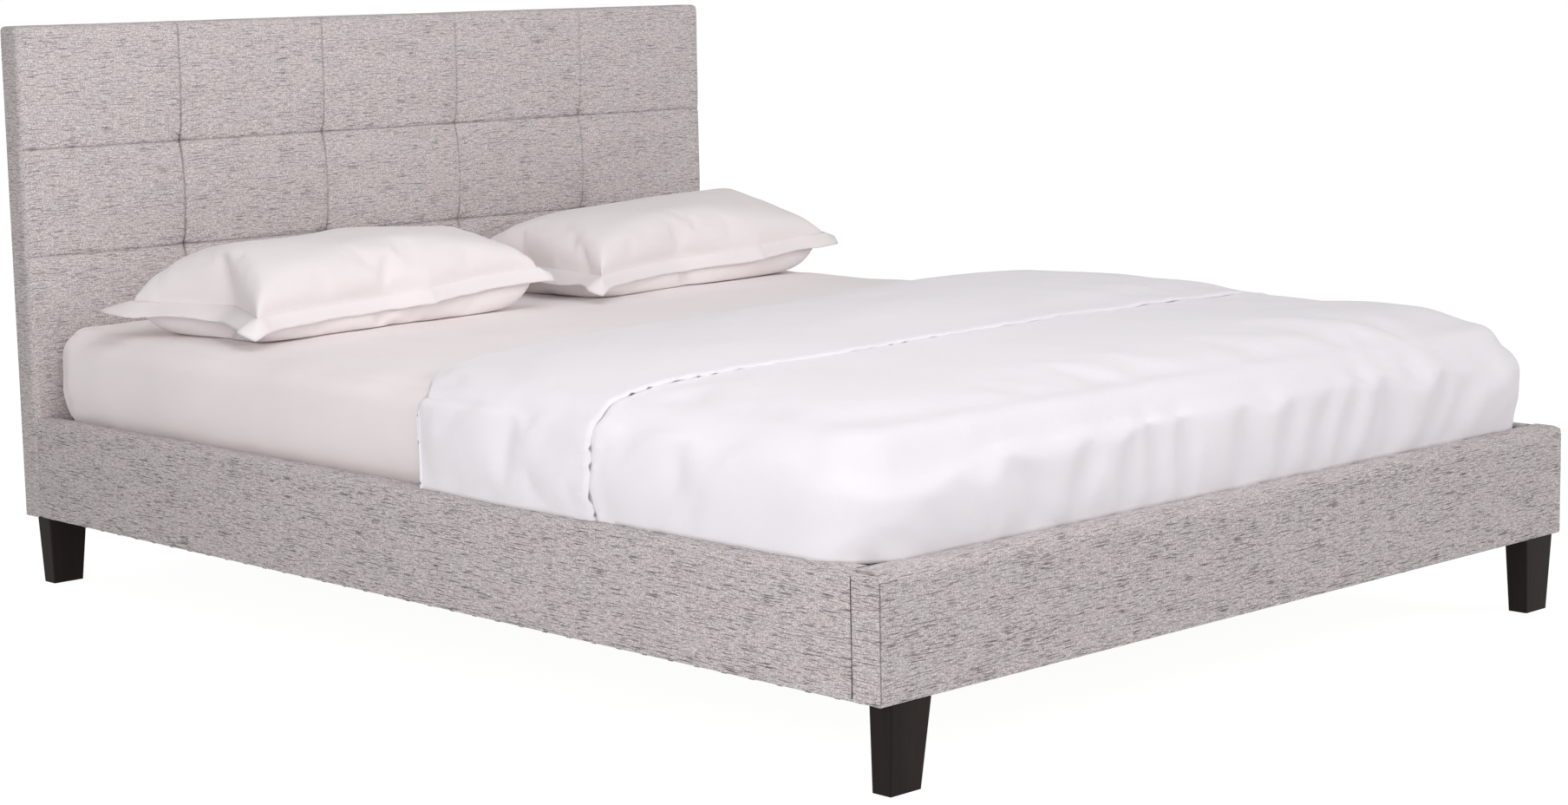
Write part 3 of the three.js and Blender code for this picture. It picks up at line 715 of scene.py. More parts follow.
def headboard_depth(point, normal):
    depth, seam = tuft(point, normal)
    uneven = 0.0007 + 0.0004 * lumps(point, 14) + 0.0005 * lumps(point, 4)
    flat_back = normal.y > 0.5
    return depth if flat_back else depth + uneven, seam


bm = sew_headboard()
press_seams(bm, headboard_depth)
map_weave(bm, 0, (0, 1, 0), bolt=0.0)
headboard = make_piece("tufted_headboard", bm, QUIET_LINEN, "linen", thickness=LINEN_THICKNESS)
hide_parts("headboard_cover", "headboard_foam")

# %% [markdown]
# ## The padded rails
#
# Each rail is a board with foam on its outer side, wrapped in the same linen. The cloth is stapled
# under the board, so a narrow strip of wood stays bare there. A cube that is cut into a grid makes
# the wrap: its outer top edge gets a large radius, because the foam is thick there, and the other
# edges get a small one.

# %% Rail covers
BARE_STRIP = 0.010
PADDED_RADIUS = 0.018
BOARD_RADIUS = 0.006
END_RADIUS = 0.005


def lined_box(low, high, cuts):
    """A box cut into a grid whose lines crowd towards its edges."""
    bm = bmesh.new()
    bmesh.ops.create_cube(bm, size=2)
    for axis in range(3):
        edges = [
            edge for edge in bm.edges if abs((edge.verts[0].co - edge.verts[1].co)[axis]) > 1e-6
        ]
        bmesh.ops.subdivide_edges(bm, edges=edges, cuts=cuts[axis] - 1, use_grid_fill=True)
    for axis in range(3):
        places = crowd(low[axis], high[axis], cuts[axis])
        for vert in bm.verts:
            vert.co[axis] = places[round((vert.co[axis] + 1) / 2 * cuts[axis])]
    return bm


def cut_away(bm, gone):
    """Removes the faces whose middle passes a test."""
    faces = [face for face in bm.faces if gone(face.calc_center_median(), face.normal)]
    bmesh.ops.delete(bm, geom=faces, context="FACES")


def wrap_rail(name, low, high, grain, inward, cuts, bolt, nodes):
    bm = lined_box(low, high, cuts)
    thin = 1 - grain
    inner = inward[thin]
    outer_face, inner_face = ((thin, -inner),), ((thin, inner),)
    middle = (low + high) / 2
    bm.normal_update()
    cut_away(bm, lambda at, normal: normal.z < -0.5 and abs(at[thin] - middle[thin]) < BARE_STRIP)
    capped = grain == 0
    if not capped:
        cut_away(bm, lambda at, normal: abs(normal[grain]) > 0.5)
    for vert in bm.verts:
        round_corners(vert.co, low, high, outer_face, TOP, PADDED_RADIUS)
        round_corners(vert.co, low, high, inner_face, TOP + UNDER, BOARD_RADIUS)
        round_corners(vert.co, low, high, outer_face, UNDER, BOARD_RADIUS)
        if capped:
            around = outer_face + inner_face + TOP + UNDER
            round_corners(vert.co, low, high, SIDES, around, END_RADIUS)
    face_out(bm)

    def rail_depth(point, normal):
        uneven = 0.0008 + 0.0006 * lumps(point, 5, bolt) + 0.0004 * lumps(point, 16, bolt)
        turned = abs(normal[grain])
        edge = bell(turned - 0.62, 0.16) if capped and turned < 0.999 else 0.0
        inside = 0.0 if normal[thin] * inner > 0.5 or normal.z < -0.5 else 1.0
        return inside * (uneven + 0.0012 * edge), edge * inside

    press_seams(bm, rail_depth)
    map_weave(bm, grain, inward, bolt)
    rail = make_piece(name, bm, LINEN, "linen", thickness=LINEN_THICKNESS)
    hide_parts(*nodes)


wrap_rail(
    "padded_foot_rail", rail_low, rail_high, 0, (0, 1, 0), (190, 12, 28), 4.0,
    ("foot_rail_cover", "foot_rail_foam"),
)
for side, inward, bolt in (("left", (1, 0, 0), 8.0), ("right", (-1, 0, 0), 12.0)):
    low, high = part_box(f"side_rail_cover_{side}")
    wrap_rail(
        f"padded_side_rail_{side}", low, high, 1, inward, (10, 190, 28), bolt,
        (f"side_rail_cover_{side}", f"side_rail_foam_{side}"),
    )

# %% [markdown]
# ## Mattress and fitted sheet
#
# The mattress is a block of foam in its ticking. It is pinched between the rails at the bottom and
# bulges a little over them. The fitted sheet is cut flat, sewn at four corners and held by elastic
# underneath, so it is smooth on top, has faint pulls on the sides, and gathers round the corners
# and at its hem. Both are made from the same lined box, the sheet a little larger.

# %% Mattress
MATTRESS_CORNER = 0.075
MATTRESS_EDGE = 0.040
LOWER_EDGE = 0.022
BULGE_FROM = 0.306
BULGE = 0.017
SQUEEZED = Vector((BULGE, 0, 0))


def mattress_box(cuts, skin):
    """The mattress grown by a skin of cloth, with its corners rounded and its sides bulging."""
    grown = Vector((skin, skin, skin))
    low = mattress_low + SQUEEZED - grown
    high = mattress_high - SQUEEZED + grown
    high.y = mattress_high.y
    bm = lined_box(low, high, cuts)
    for vert in bm.verts:
        rise = max(0.0, (vert.co.z - BULGE_FROM) / (mattress_top - BULGE_FROM))
        round_corners(vert.co, low, high, SIDES + FOOT + HEAD, TOP, MATTRESS_EDGE)
        round_corners(vert.co, low, high, SIDES + FOOT + HEAD, UNDER, LOWER_EDGE)
        round_corners(vert.co, low, high, SIDES, FOOT + HEAD, MATTRESS_CORNER)
        outward = BULGE * math.sin(math.pi * min(rise, 1.0)) ** 0.6 if rise > 0 else 0.0
        vert.co.x += outward * max(-1.0, min(1.0, vert.co.x / (high.x - 0.03)))
    return bm


def gathers(point, low, high):
    """Folds of a fitted sheet: fans round the corners, a puckered hem and soft pulls."""
    corner = Vector((math.copysign(high.x, point.x), high.y if point.y > 0 else low.y))
    away = (Vector((point.x, point.y)) - corner).length
    down = ramp(mattress_top - point.z, 0, 0.15)
    turn = math.atan2(point.y - corner.y + 0.11 * math.copysign(1, point.y), point.x - corner.x)
    fan = math.sin(26 * turn + 3 * lumps(point, 7)) * bell(away, 0.11) * down
    lean = Vector((point.x, point.y * 5.0 + point.z * 9.0, point.z * 5.0 - abs(point.y) * 2.0))
    pulls = 0.0026 * lumps(lean, 1.9, 3.0) + 0.0010 * lumps(point, 9, 5.0)
    pucker = lumps((point.x * 20, point.y * 20, point.z * 5), 1.0, 6.0)
    hem = 0.0016 * bell(point.z - 0.315, 0.030) * pucker
    return 0.0034 * fan + hem + ramp(point.z - 0.30, 0, 0.05) * pulls


bm = mattress_box((60, 80, 14), -0.006)
bm.normal_update()
map_weave(bm, 1, (1, 0, 0), bolt=0.0)
core = make_piece("mattress_core", bm, FINISHES["ticking"], "sheeting", "mattress")
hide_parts("mattress")

# %% Fitted sheet
HEM_UNDER = 0.090


def fit_sheet():
    bm = mattress_box((150, 190, 30), 0.0)
    low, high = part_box("mattress")
    bm.normal_update()

    def past_hem(at, normal):
        to_edge = min(high.x - BULGE - abs(at.x), high.y - at.y, at.y - low.y)
        return normal.z < -0.9 and to_edge > HEM_UNDER

    cut_away(bm, past_hem)
    for vert in bm.verts:
        if vert.co.z >= mattress_low.z + 0.004:
            vert.co += vert.normal * gathers(vert.co, low, high)
    face_out(bm)
    return bm


bm = fit_sheet()
map_weave(bm, 1, (1, 0, 0), bolt=0.0)
sheet = make_piece(
    "fitted_sheet", bm, FINISHES["sheeting"], "sheeting", "mattress", thickness=0.8 * MM
)

# %% [markdown]
# ## The duvet
#
# A duvet is a flat quilt in a loose cotton cover. It lies over the mattress, drops down both sides
# and the foot, and is turned back at the head end, so its inner face shows as a broad band with a
# puckered hem. Drawing folds by hand rarely looks right, so cloth simulation makes them: the quilt
# starts as a smooth layer over the mattress, its cloth is cut a little too large near the foot, its
# edges are held, and a slight pressure from inside lets it find its own folds.

# %% Duvet layout
DUVET_HALF = duvet_high.x
DUVET_FOOT = duvet_low.y - 0.012
DUVET_TOP = duvet_high.z
DUVET_BOTTOM = rail_top - 0.0026
PLAN_CORNER = 0.095
EDGE_ROUND = 0.070
SPACING = 0.0095


def head_line(x):
    """Where the duvet's head end lies: pulled down on the near side, as by whoever slept there."""
    return duvet_high.y + 0.014 - 0.28 * math.exp(-(x + DUVET_HALF) / 0.40)


def hem_line(x):
    """Where the turned-back band ends."""
    return -0.499 - 0.030 * (x + DUVET_HALF)


def outline(x, y):
    """(distance inside the duvet's plan outline, direction outwards)."""
    core_x = max(-DUVET_HALF + PLAN_CORNER, min(DUVET_HALF - PLAN_CORNER, x))
    core_y = max(DUVET_FOOT + PLAN_CORNER, y)
    out = Vector((x - core_x, y - core_y, 0))
    if out.length < 1e-9:
        return 9.0, out
    return PLAN_CORNER - out.length, out.normalized()


def lay_duvet():
    """The smooth outer layer: a grid on top, pulled down at both sides and the foot."""
    columns = round(2 * DUVET_HALF / SPACING)
    hem_rows = round((hem_line(0) - DUVET_FOOT) / SPACING)
    rows = hem_rows + round((head_line(0) - hem_line(0)) / SPACING)
    bm = bmesh.new()
    bmesh.ops.create_grid(bm, x_segments=columns, y_segments=rows, size=0.5)
    for index, vert in enumerate(bm.verts):
        across, along = index % (columns + 1), index // (columns + 1)
        x = -DUVET_HALF + 2 * DUVET_HALF * across / columns
        if along <= hem_rows:
            y = DUVET_FOOT + (hem_line(x) - DUVET_FOOT) * along / hem_rows
        else:
            y = hem_line(x) + (head_line(x) - hem_line(x)) * (along - hem_rows) / (rows - hem_rows)
        vert.co = (x, y, DUVET_TOP)
    head_end = (columns + 1) * rows
    rim = [
        edge for edge in bm.edges
        if edge.is_boundary and any(vert.index < head_end for vert in edge.verts)
    ]
    steps = round((DUVET_TOP - DUVET_BOTTOM) / SPACING)
    for _ in range(steps):
        rim = pull_rim(bm, rim, (0, 0, (DUVET_BOTTOM - DUVET_TOP) / steps))
    low = Vector((-DUVET_HALF, DUVET_FOOT, DUVET_BOTTOM))
    high = Vector((DUVET_HALF, 9.0, DUVET_TOP))
    for vert in bm.verts:
        round_corners(vert.co, low, high, SIDES, FOOT, PLAN_CORNER)
    return bm


def round_over(bm):
    """Rounds the top edge over, and lets the top sink towards its edges."""
    for vert in bm.verts:
        x, y, z = vert.co
        inside, out = outline(x, y)
        if inside > 1:
            inside = min(DUVET_HALF - abs(x), y - DUVET_FOOT)
        a, b = 1 - inside / EDGE_ROUND, 1 - (DUVET_TOP - z) / EDGE_ROUND
        if a > 0 and b > 0:
            vert.co -= out * EDGE_ROUND * a * (1 - math.sqrt(1 - b * b / 2))
            vert.co.z -= EDGE_ROUND * b * (1 - math.sqrt(max(0, 1 - a * a / 2)))
        to_edge = min(DUVET_HALF - abs(vert.co.x), vert.co.y - DUVET_FOOT)
        to_head = head_line(vert.co.x) - vert.co.y
        above = max(0.0, vert.co.z - mattress_top)
        sunk = 0.026 * math.exp(-max(0.0, to_edge) / 0.11)
        sunk += 0.028 * (1 - smooth(to_head, 0.0, 0.24))
        vert.co.z += min(1.0, above / 0.03) * (0.004 - sunk)
        if above == 0.0 or a > 0:
            down = 1 - b if 0 < b < 1 else 1.0 if b <= 0 else 0.0
            vert.co -= out * 0.005 * (1 - smooth(to_head, 0.0, 0.20)) * down
    return bm


# %% Duvet folds
CLOTH = {
    "quality": 5,
    "mass": 0.4,
    "tension_stiffness": 12,
    "compression_stiffness": 12,
    "shear_stiffness": 4,
    "tension_damping": 8,
    "compression_damping": 8,
    "air_damping": 3,
    "vertex_group_mass": "held",
    "pin_stiffness": 1.0,
    "use_pressure": True,
    "vertex_group_shrink": "tight",
    "shrink_max": 0.0,
}


def settle(bm, held, loose, seeds, spare, pressure, bending, frames, reach, dip):
    """Cloth simulation of one layer: held points stay, loose ones have cloth to spare."""
    for vert in bm.verts:
        vert.co += vert.normal * (seeds(vert.co) * (1 - held(vert.co)))
    mesh = bpy.data.meshes.new("settling")
    bm.to_mesh(mesh)
    body = add_object("settling", mesh)
    for name, weight in (("held", held), ("tight", lambda point: 1 - loose(point))):
        group = body.vertex_groups.new(name=name)
        for vert in mesh.vertices:
            group.add([vert.index], weight(vert.co), "REPLACE")
    cloth = body.modifiers.new("cloth", "CLOTH")
    for name, value in CLOTH.items():
        setattr(cloth.settings, name, value)
    cloth.settings.bending_stiffness = bending
    cloth.settings.uniform_pressure_force = pressure
    cloth.settings.shrink_min = -spare
    cloth.settings.effector_weights.gravity = 0
    cloth.collision_settings.use_collision = False
    cloth.point_cache.frame_end = frames
    for step in range(1, frames + 1):
        scene.frame_set(step)
    settled = body.evaluated_get(bpy.context.evaluated_depsgraph_get()).data
    for vert, found in zip(bm.verts, settled.vertices):
        move = found.co - vert.co
        if move.length > reach:
            move *= reach / move.length
        inward = -move.dot(vert.normal) - dip
        if inward > 0:
            move += vert.normal * inward
        vert.co += move
    scene.frame_set(1)
    bpy.data.objects.remove(body)
    bpy.data.meshes.remove(mesh)


def duvet_held(point):
    """1 on the hems, where the cloth can't move, and a slight hold on top."""
    if point.z < DUVET_BOTTOM + 0.004 or head_line(point.x) - point.y < 0.008:
        return 1.0
    return 0.05 * smooth(point.z, 0.40, 0.49)


def duvet_loose(point):
    """From 0 to 1, how much cloth there is to spare: most at the foot, least at the band."""
    to_foot = point.y - DUVET_FOOT
    low_part = 1 - smooth(point.z, DUVET_BOTTOM + 0.03, DUVET_TOP - 0.01)
    foot = 1 - smooth(to_foot, 0.02, 0.22)
    corner = bell(math.hypot(DUVET_HALF - abs(point.x), to_foot - 0.14), 0.32)
    band = smooth(point.y - hem_line(point.x), -0.02, 0.06)
    spare = 0.10 + 0.60 * foot * low_part + 0.25 * foot + 0.40 * corner
    return min(1.0, spare + 0.06 * low_part * (1 - band))


def duvet_seeds(point):
    """The slight unevenness that folds grow from: slanted on the sides, upright at the foot."""
    on_side = smooth(abs(point.x), DUVET_HALF - 0.12, DUVET_HALF - 0.03)
    slanted = lumps((0, point.y * 15 + point.z * 17, point.z * 3), 1.0, 4.0)
    slide = point.x + (0.15 + 1.2 * point.x) * (DUVET_TOP - point.z)
    fanned = lumps((slide * 14, point.y * 6, 0), 1.0, 9.0)
    fanned += 0.2 * lumps((slide * 29, point.y * 9, 0), 1.0, 3.0)
    patch = 0.35 + 0.65 * smooth(lumps((point.x * 3.1, 0, 0), 1.0, 6.0), -0.4, 0.5)
    patch *= 0.5 + 0.5 * smooth(point.x, -0.30, 0.35)
    return 0.0055 * on_side * slanted + 0.0040 * (1 - on_side) * patch * fanned


bm = round_over(lay_duvet())
face_out(bm)
if max(bm.faces, key=lambda face: face.calc_center_median().z).normal.z < 0:
    bmesh.ops.reverse_faces(bm, faces=bm.faces)
bm.normal_update()
turned = bm.verts.layers.float.new("turned")
for vert in bm.verts:
    vert[turned] = vert.co.y - hem_line(vert.co.x)
settle(
    bm, duvet_held, duvet_loose, duvet_seeds,
    spare=0.044, pressure=0.55, bending=3.2, frames=24, reach=0.030, dip=0.008,
)


def ease(bm, verts, rounds):
    axes = {f"use_axis_{axis}": True for axis in "xyz"}
    for _ in range(rounds):
        bmesh.ops.smooth_vert(bm, verts=verts, factor=0.5, **axes)


def smooth_out(bm, rounds, chosen):
    """Smooths wrinkles that are too tight for a quilt, among the points that pass a test."""
    inner = [vert for vert in bm.verts if not vert.is_boundary and duvet_held(vert.co) < 1]
    ease(bm, [vert for vert in inner if chosen(vert.co)], rounds)


def refine_hem(bm, reach):
    """Three times finer cloth on both sides of the hem, where its small puckers go."""
    turned = bm.verts.layers.float["turned"]
    edges = [edge for edge in bm.edges if all(abs(vert[turned]) < reach for vert in edge.verts)]
    fresh = bmesh.ops.subdivide_edges(bm, edges=edges, cuts=2, use_grid_fill=True)["geom_inner"]
    ease(bm, [item for item in fresh if isinstance(item, bmesh.types.BMVert)], 2)


smooth_out(bm, 2, lambda at: True)
smooth_out(bm, 3, lambda at: at.z < DUVET_BOTTOM + 0.085)
refine_hem(bm, 0.045)


def mattress_roof(x, y):
    """The height of the mattress below a point of the duvet, with its rounded edge."""
    to_side, to_foot = mattress_high.x - abs(x), y - mattress_low.y
    inside = min(to_side, to_foot)
    corner = MATTRESS_CORNER
    if to_side < corner and to_foot < corner:
        inside = corner - math.hypot(corner - to_side, corner - to_foot)
    out = max(0.0, min(1.0, 1 - inside / MATTRESS_EDGE))
    return mattress_top - MATTRESS_EDGE * (1 - math.sqrt(1 - out * out)) + 4 * min(0.0, inside)


def press_down(bm):
    """Lets the quilt lie lower: a little everywhere, more at the near side, most along the foot."""
    height = DUVET_TOP - DUVET_BOTTOM
    for vert in bm.verts:
        x, y, z = vert.co
        near = 0.028 - 0.016 * smooth(x, -0.5, 0.6)
        head = 1 - 0.5 * smooth(x, -0.2, 0.6) * smooth(y, -0.48, -0.40)
        past = hem_line(x) - y
        step = smooth(past, -0.12, 0.03) * (1 - smooth(past, 0.12, 0.40))
        step *= 0.007 * smooth(x, 0.1, 0.6)
        corner = smooth(abs(x), 0.45, 0.74)
        foot = 0.030 * (1 - corner) * (1 - smooth(y - DUVET_FOOT, -0.02, 0.12))
        foot += 0.058 * corner * (1 - smooth(y - DUVET_FOOT, -0.02, 0.18))
        lowered = z - (near * head + foot + step) * max(0.0, z - DUVET_BOTTOM) / height
        roof = mattress_roof(x, y) + 0.011
        carried = (lowered + roof + math.hypot(lowered - roof, 0.006)) / 2
        over = smooth(z, mattress_top - 0.085, mattress_top - 0.015)
        vert.co.z = min(z, lowered + over * (carried - lowered))


press_down(bm)
smooth_out(bm, 7, lambda at: math.hypot(DUVET_HALF - abs(at.x), at.y - DUVET_FOOT) < 0.24)
print("duvet layer of", len(bm.verts), "points")

# %% [markdown]
# ## Quilt and turned-back band
#
# One settled layer gives both pieces, so they can't run into each other. The quilt takes all of it,
# and lies a little lower where the band covers it. The band takes what lies past the hem, a little
# higher, and its hem is gathered: it rises and dips in small uneven scallops that leave openings,
# with short creases running away from them. The hem line on the quilt is drawn darker, most where
# it gapes: a thin seam line with painted shade in the openings.

# %% Quilt and band
BAND_RISE = 0.0042


def opening(point):
    """From 0, where the hem lies flat, to 1, where it gapes: mostly at the near side."""
    along = point.x * 0.8 - point.z * 0.9
    wander = 1.4 * noise.noise(Vector((along * 7, 2.0, 5.0)))
    wander += noise.noise(Vector((along * 23, 7.0, 1.0)))
    wave = 0.5 + 0.5 * math.sin(2 * math.pi * along / 0.031 + 3.0 * wander)
    near_side = smooth(-point.x, 0.34, 0.70)
    patch = smooth(noise.noise(Vector((along * 4.3, 9.0, 3.0))), 0.0, 0.35)
    return wave ** 3 * (near_side + (1 - near_side) * 0.65 * patch)


def quilt_from(layer):
    bm = layer.copy()
    bm.normal_update()
    turned = bm.verts.layers.float["turned"]
    seams = bm.verts.layers.float.new("seam")
    for vert in bm.verts:
        past, gape = vert[turned], opening(vert.co)
        roll = 0.0022 * bell(past + 0.013, 0.008) * (0.5 + 0.5 * gape)
        groove = 0.0032 * bell(past, 0.005) * (0.5 + 0.5 * gape)
        vert.co += vert.normal * (roll - groove - 0.0055 * smooth(past, -0.004, 0.018))
        # Painted shade: the hem line is darkened, most where the hem gapes open.
        vert[seams] = (0.12 + 0.80 * gape) * bell(past, 0.0027)
    return bm


def band_from(layer):
    bm = layer.copy()
    turned = bm.verts.layers.float["turned"]
    gone = [face for face in bm.faces if any(vert[turned] < -0.0005 for vert in face.verts)]
    bmesh.ops.delete(bm, geom=gone, context="FACES")
    bm.normal_update()
    for vert in bm.verts:
        past, gape = max(0.0, vert[turned]), opening(vert.co)
        rim = bell(past, 0.0034)
        roll = 0.0012 * bell(past - 0.012, 0.008) * gape
        uneven = lumps((vert.co.x * 30, past * 12, vert.co.z * 30), 1.0, 2.0)
        ridge = 0.0010 * math.exp(-past / 0.050) * uneven
        rise = BAND_RISE * (1 - rim) + rim * (0.0008 + 0.0024 * gape) + roll + ridge
        vert.co += vert.normal * rise + Vector((0, rim * (0.0032 * gape - 0.0018), 0))
    return bm


def close_head_end(bm, drop):
    """Rolls the head end down to the sheet, as the fold of a turned-back quilt does."""
    rim = [
        edge for edge in bm.edges if edge.is_boundary
        and all(head_line(vert.co.x) - vert.co.y < 0.006 for vert in edge.verts)
    ]
    for forth, down in ((0.0045, 0.25), (0.0020, 0.35), (-0.0005, 0.40)):
        rim = pull_rim(bm, rim, (0, forth, -down * drop))


layer = bm
quilt = quilt_from(layer)
band = band_from(layer)
layer.free()
close_head_end(band, 0.010)
cotton = (FINISHES["duvet_cotton"], "duvet_cotton", "duvet")
duvet = make_piece("duvet_quilt", quilt, *cotton, thickness=8.0 * MM)
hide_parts("duvet")
turn_back = make_piece("duvet_turned_back", band, *cotton, thickness=3.0 * MM)

# %% [markdown]
# ## Pillows
#
# A pillowcase is two flat rectangles sewn together, with a flat flange outside the seam. The
# filling swells it, and cloth that is then short along the edges gives a pillow its pulled-in
# sides, pointed corners and puckered seam. The same steps make it here: two flat layers are joined
# at the rim, inflated by cloth simulation, set down on the mattress, and given their flange.

# %% Pillow body
PILLOW_TURN = math.radians(6)
FLANGE = 0.041
SEAM_HEIGHT = 0.058
FLANGED = Vector((0.757, 0.440))
CREST = 0.158
PILLOW_SPACING = 0.0115


def lay_pillow(length, width, spacing):
    """Two layers of cloth, joined at their rim and a few millimetres apart in the middle."""
    bm = bmesh.new()
    for side in (1, -1):
        made = bmesh.ops.create_grid(
            bm, x_segments=round(length / spacing), y_segments=round(width / spacing), size=0.5
        )["verts"]
        for vert in made:
            inside = (1 - abs(vert.co.x) * 2) * (1 - abs(vert.co.y) * 2)
            vert.co = (vert.co.x * length, vert.co.y * width, side * 0.010 * min(1.0, 6 * inside))
    bmesh.ops.remove_doubles(bm, verts=bm.verts, dist=1e-5)
    face_out(bm)
    return bm


def blow_up(seed):
    """Inflates the flat case. Each point keeps the direction in which its flange will stick out."""
    length, width = FLANGED.x - 2 * FLANGE + 0.040, FLANGED.y - 2 * FLANGE + 0.040
    bm = lay_pillow(length, width, PILLOW_SPACING)
    bm.normal_update()
    rim = bm.verts.layers.float_vector.new("rim")
    for vert in bm.verts:
        on_x = abs(vert.co.x) > length / 2 - 1e-4
        on_y = abs(vert.co.y) > width / 2 - 1e-4
        vert[rim] = (math.copysign(on_x, vert.co.x), math.copysign(on_y, vert.co.y), 0)
    settle(
        bm, lambda point: 0.0, lambda point: 0.0,
        lambda point: 0.0010 * lumps(point, 9, seed) + 0.0005 * lumps(point, 22, seed),
        spare=0.0, pressure=1.6, bending=4.0, frames=30, reach=0.2, dip=0.2,
    )
    return bm


# %% Pillow shaping
def set_down(bm):
    """Fits the inflated case to its size, flattens it underneath and tips its front down."""
    half = Vector([max(abs(vert.co[axis]) for vert in bm.verts) for axis in range(3)])
    wanted = Vector((FLANGED.x / 2 - FLANGE, FLANGED.y / 2 - FLANGE, CREST - SEAM_HEIGHT))
    for vert in bm.verts:
        for axis in range(2):
            vert.co[axis] *= wanted[axis] / half[axis]
        share = vert.co.z / half.z
        if share > 0:
            end = abs(vert.co.x) / wanted.x
            full = -0.03 if vert.co.x > 0 else 0.17
            full = 1 + full * smooth(end, 0.10, 0.82) * (1 - smooth(end, 0.86, 1.0))
            pucker = lumps((vert.co.x * 9, vert.co.y * 50, 0), 1.0, 3.0)
            pucker *= 0.0034 * smooth(end, 0.66, 0.94)
            vert.co.z = wanted.z * share ** 0.85 * full + pucker * min(1.0, 4 * share)
        else:
            vert.co.z = -SEAM_HEIGHT * (1 - (1 - min(1.0, -share / 0.62)) ** 2)
        rest = smooth(vert.co.z, -SEAM_HEIGHT, 0.0)
        vert.co.z += rest * (0.030 * vert.co.y + (0.080 if vert.co.x > 0 else 0.005) * vert.co.x)


def add_flange(bm, seed):
    """A single layer of cloth from the seam outwards, which hangs lowest in front."""
    rim = bm.verts.layers.float_vector["rim"]
    seams = bm.verts.layers.float.new("seam")
    seam = [edge for edge in bm.edges if all(vert[rim].length > 0.5 for vert in edge.verts)]
    seam = [edge for edge in seam if (edge.verts[0][rim] + edge.verts[1][rim]).length > 1.2]
    island = bmesh.ops.duplicate(bm, geom=seam)["geom"]
    ring = [item for item in island if isinstance(item, bmesh.types.BMEdge)]
    shares = (0.0, 0.12, 0.30, 0.52, 0.76, 1.0)
    for before, after in zip(shares, shares[1:]):
        for vert in verts_of(ring):
            vert[seams] = 0.5 * abs(vert[rim].x) if before == 0.0 else 0.0
        ring = pull_rim(bm, ring, (0, 0, 0))
        for vert in verts_of(ring):
            vert[seams] = 0.0
            out = Vector(vert[rim])
            front, left = max(0.0, -out.y), max(0.0, -out.x)
            wave = (0.005 - 0.0035 * front) * lumps((vert.co.x, vert.co.y, 0), 12, seed)
            wave += 0.0012 * lumps(vert.co, 38, seed)
            fall = 0.009 + 0.014 * front + 0.010 * left
            vert.co += out * (FLANGE - 0.023 * front) * (after - before)
            vert.co.z += (wave * 2 * after - fall * (0.6 + 0.8 * after)) * (after - before)
    corners = bm.verts.layers.float.new("crease_vert")
    for vert in verts_of(ring):
        vert[corners] = 0.9 if min(abs(vert[rim].x), abs(vert[rim].y)) > 0.5 else 0.0


def floor_to(bm, level):
    for vert in bm.verts:
        if vert.co.z < level:
            vert.co.z = level + 0.0008 * min(1.0, (level - vert.co.z) / 0.01)


def make_pillow(side, place, seed):
    bm = blow_up(seed)
    set_down(bm)
    add_flange(bm, seed)
    floor_to(bm, 0.0004 - SEAM_HEIGHT)
    turn = Matrix.Translation(place) @ Matrix.Rotation(PILLOW_TURN, 4, "Z")
    bmesh.ops.transform(bm, matrix=turn, verts=bm.verts)
    face_out(bm)
    pillow = make_piece(
        f"{side}_pillow", bm, FINISHES["pillow_cotton"], "pillow_cotton", f"pillow_{side}",
        finer=1, thickness=1.2 * MM,
    )
    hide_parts(f"pillow_{side}")


for side, seed in (("left", 1.0), ("right", 5.0)):
    low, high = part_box(f"pillow_{side}")
    place = (low + high) / 2 + Vector((0, 0.018, 0))
    place.z = mattress_top + SEAM_HEIGHT + 0.001
    make_pillow(side, place, seed)

# %% [markdown]
# ## Bolts, screws and staples
#
# The rails are bolted to irons in the corners, screws hold the ledgers and the beam hangers, and
# the cloth is stapled where it can't be seen: under the rails, on the slats' webbing and round the
# dust cloth at the back. Each kind is one object of many small closed solids, because they are all
# alike and never move on their own.

# %% Fastener shapes
BOLT = ((0.0085, 0.0085, 0.0013, 24), (0.0068, 0.0064, 0.0048, 6))
SCREW = ((0.0040, 0.0040, 0.0008, 16), (0.0040, 0.0022, 0.0014, 16))
CROWN = Matrix.Diagonal((0.010, 0.0011, 0.0008, 1))
LET_IN = 0.0002
OVERLAP = 0.0001


def add_head(bm, place, axis, layers):
    """Stacks discs or hexagons: each layer is (radius at its base, at its top, height, sides)."""
    turn = Vector((0, 0, 1)).rotation_difference(Vector(axis)).to_matrix().to_4x4()
    lift = -LET_IN
    for base, top, height, sides in layers:
        where = Matrix.Translation(place) @ turn @ Matrix.Translation((0, 0, lift + height / 2))
        bmesh.ops.create_cone(
            bm, cap_ends=True, segments=sides, radius1=base, radius2=top, depth=height, matrix=where
        )
        lift += height - OVERLAP


def add_staples(bm, xs, ys, zs, along, out):
    """Staple crowns at every pairing of the places, each lying slightly askew."""
    along, out = Vector(along), Vector(out)
    for place in map(Vector, product(xs, ys, zs)):
        askew = along + along.cross(out) * (0.18 * noise.noise(place * 90))
        askew.normalize()
        turn = Matrix((askew, askew.cross(out), out)).transposed().to_4x4()
        where = Matrix.Translation(place + out * 0.0003) @ turn @ CROWN
        bmesh.ops.create_cube(bm, size=1, matrix=where)


def make_hardware(name, bm):
    face_out(bm)
    make_piece(name, bm, FINISHES["steel"], "steel").data.shade_flat()


# %% Fastener places
def inset(box, axis, margin):
    """The two places on an axis that lie a margin inside a box."""
    return box[0][axis] + margin, box[1][axis] - margin


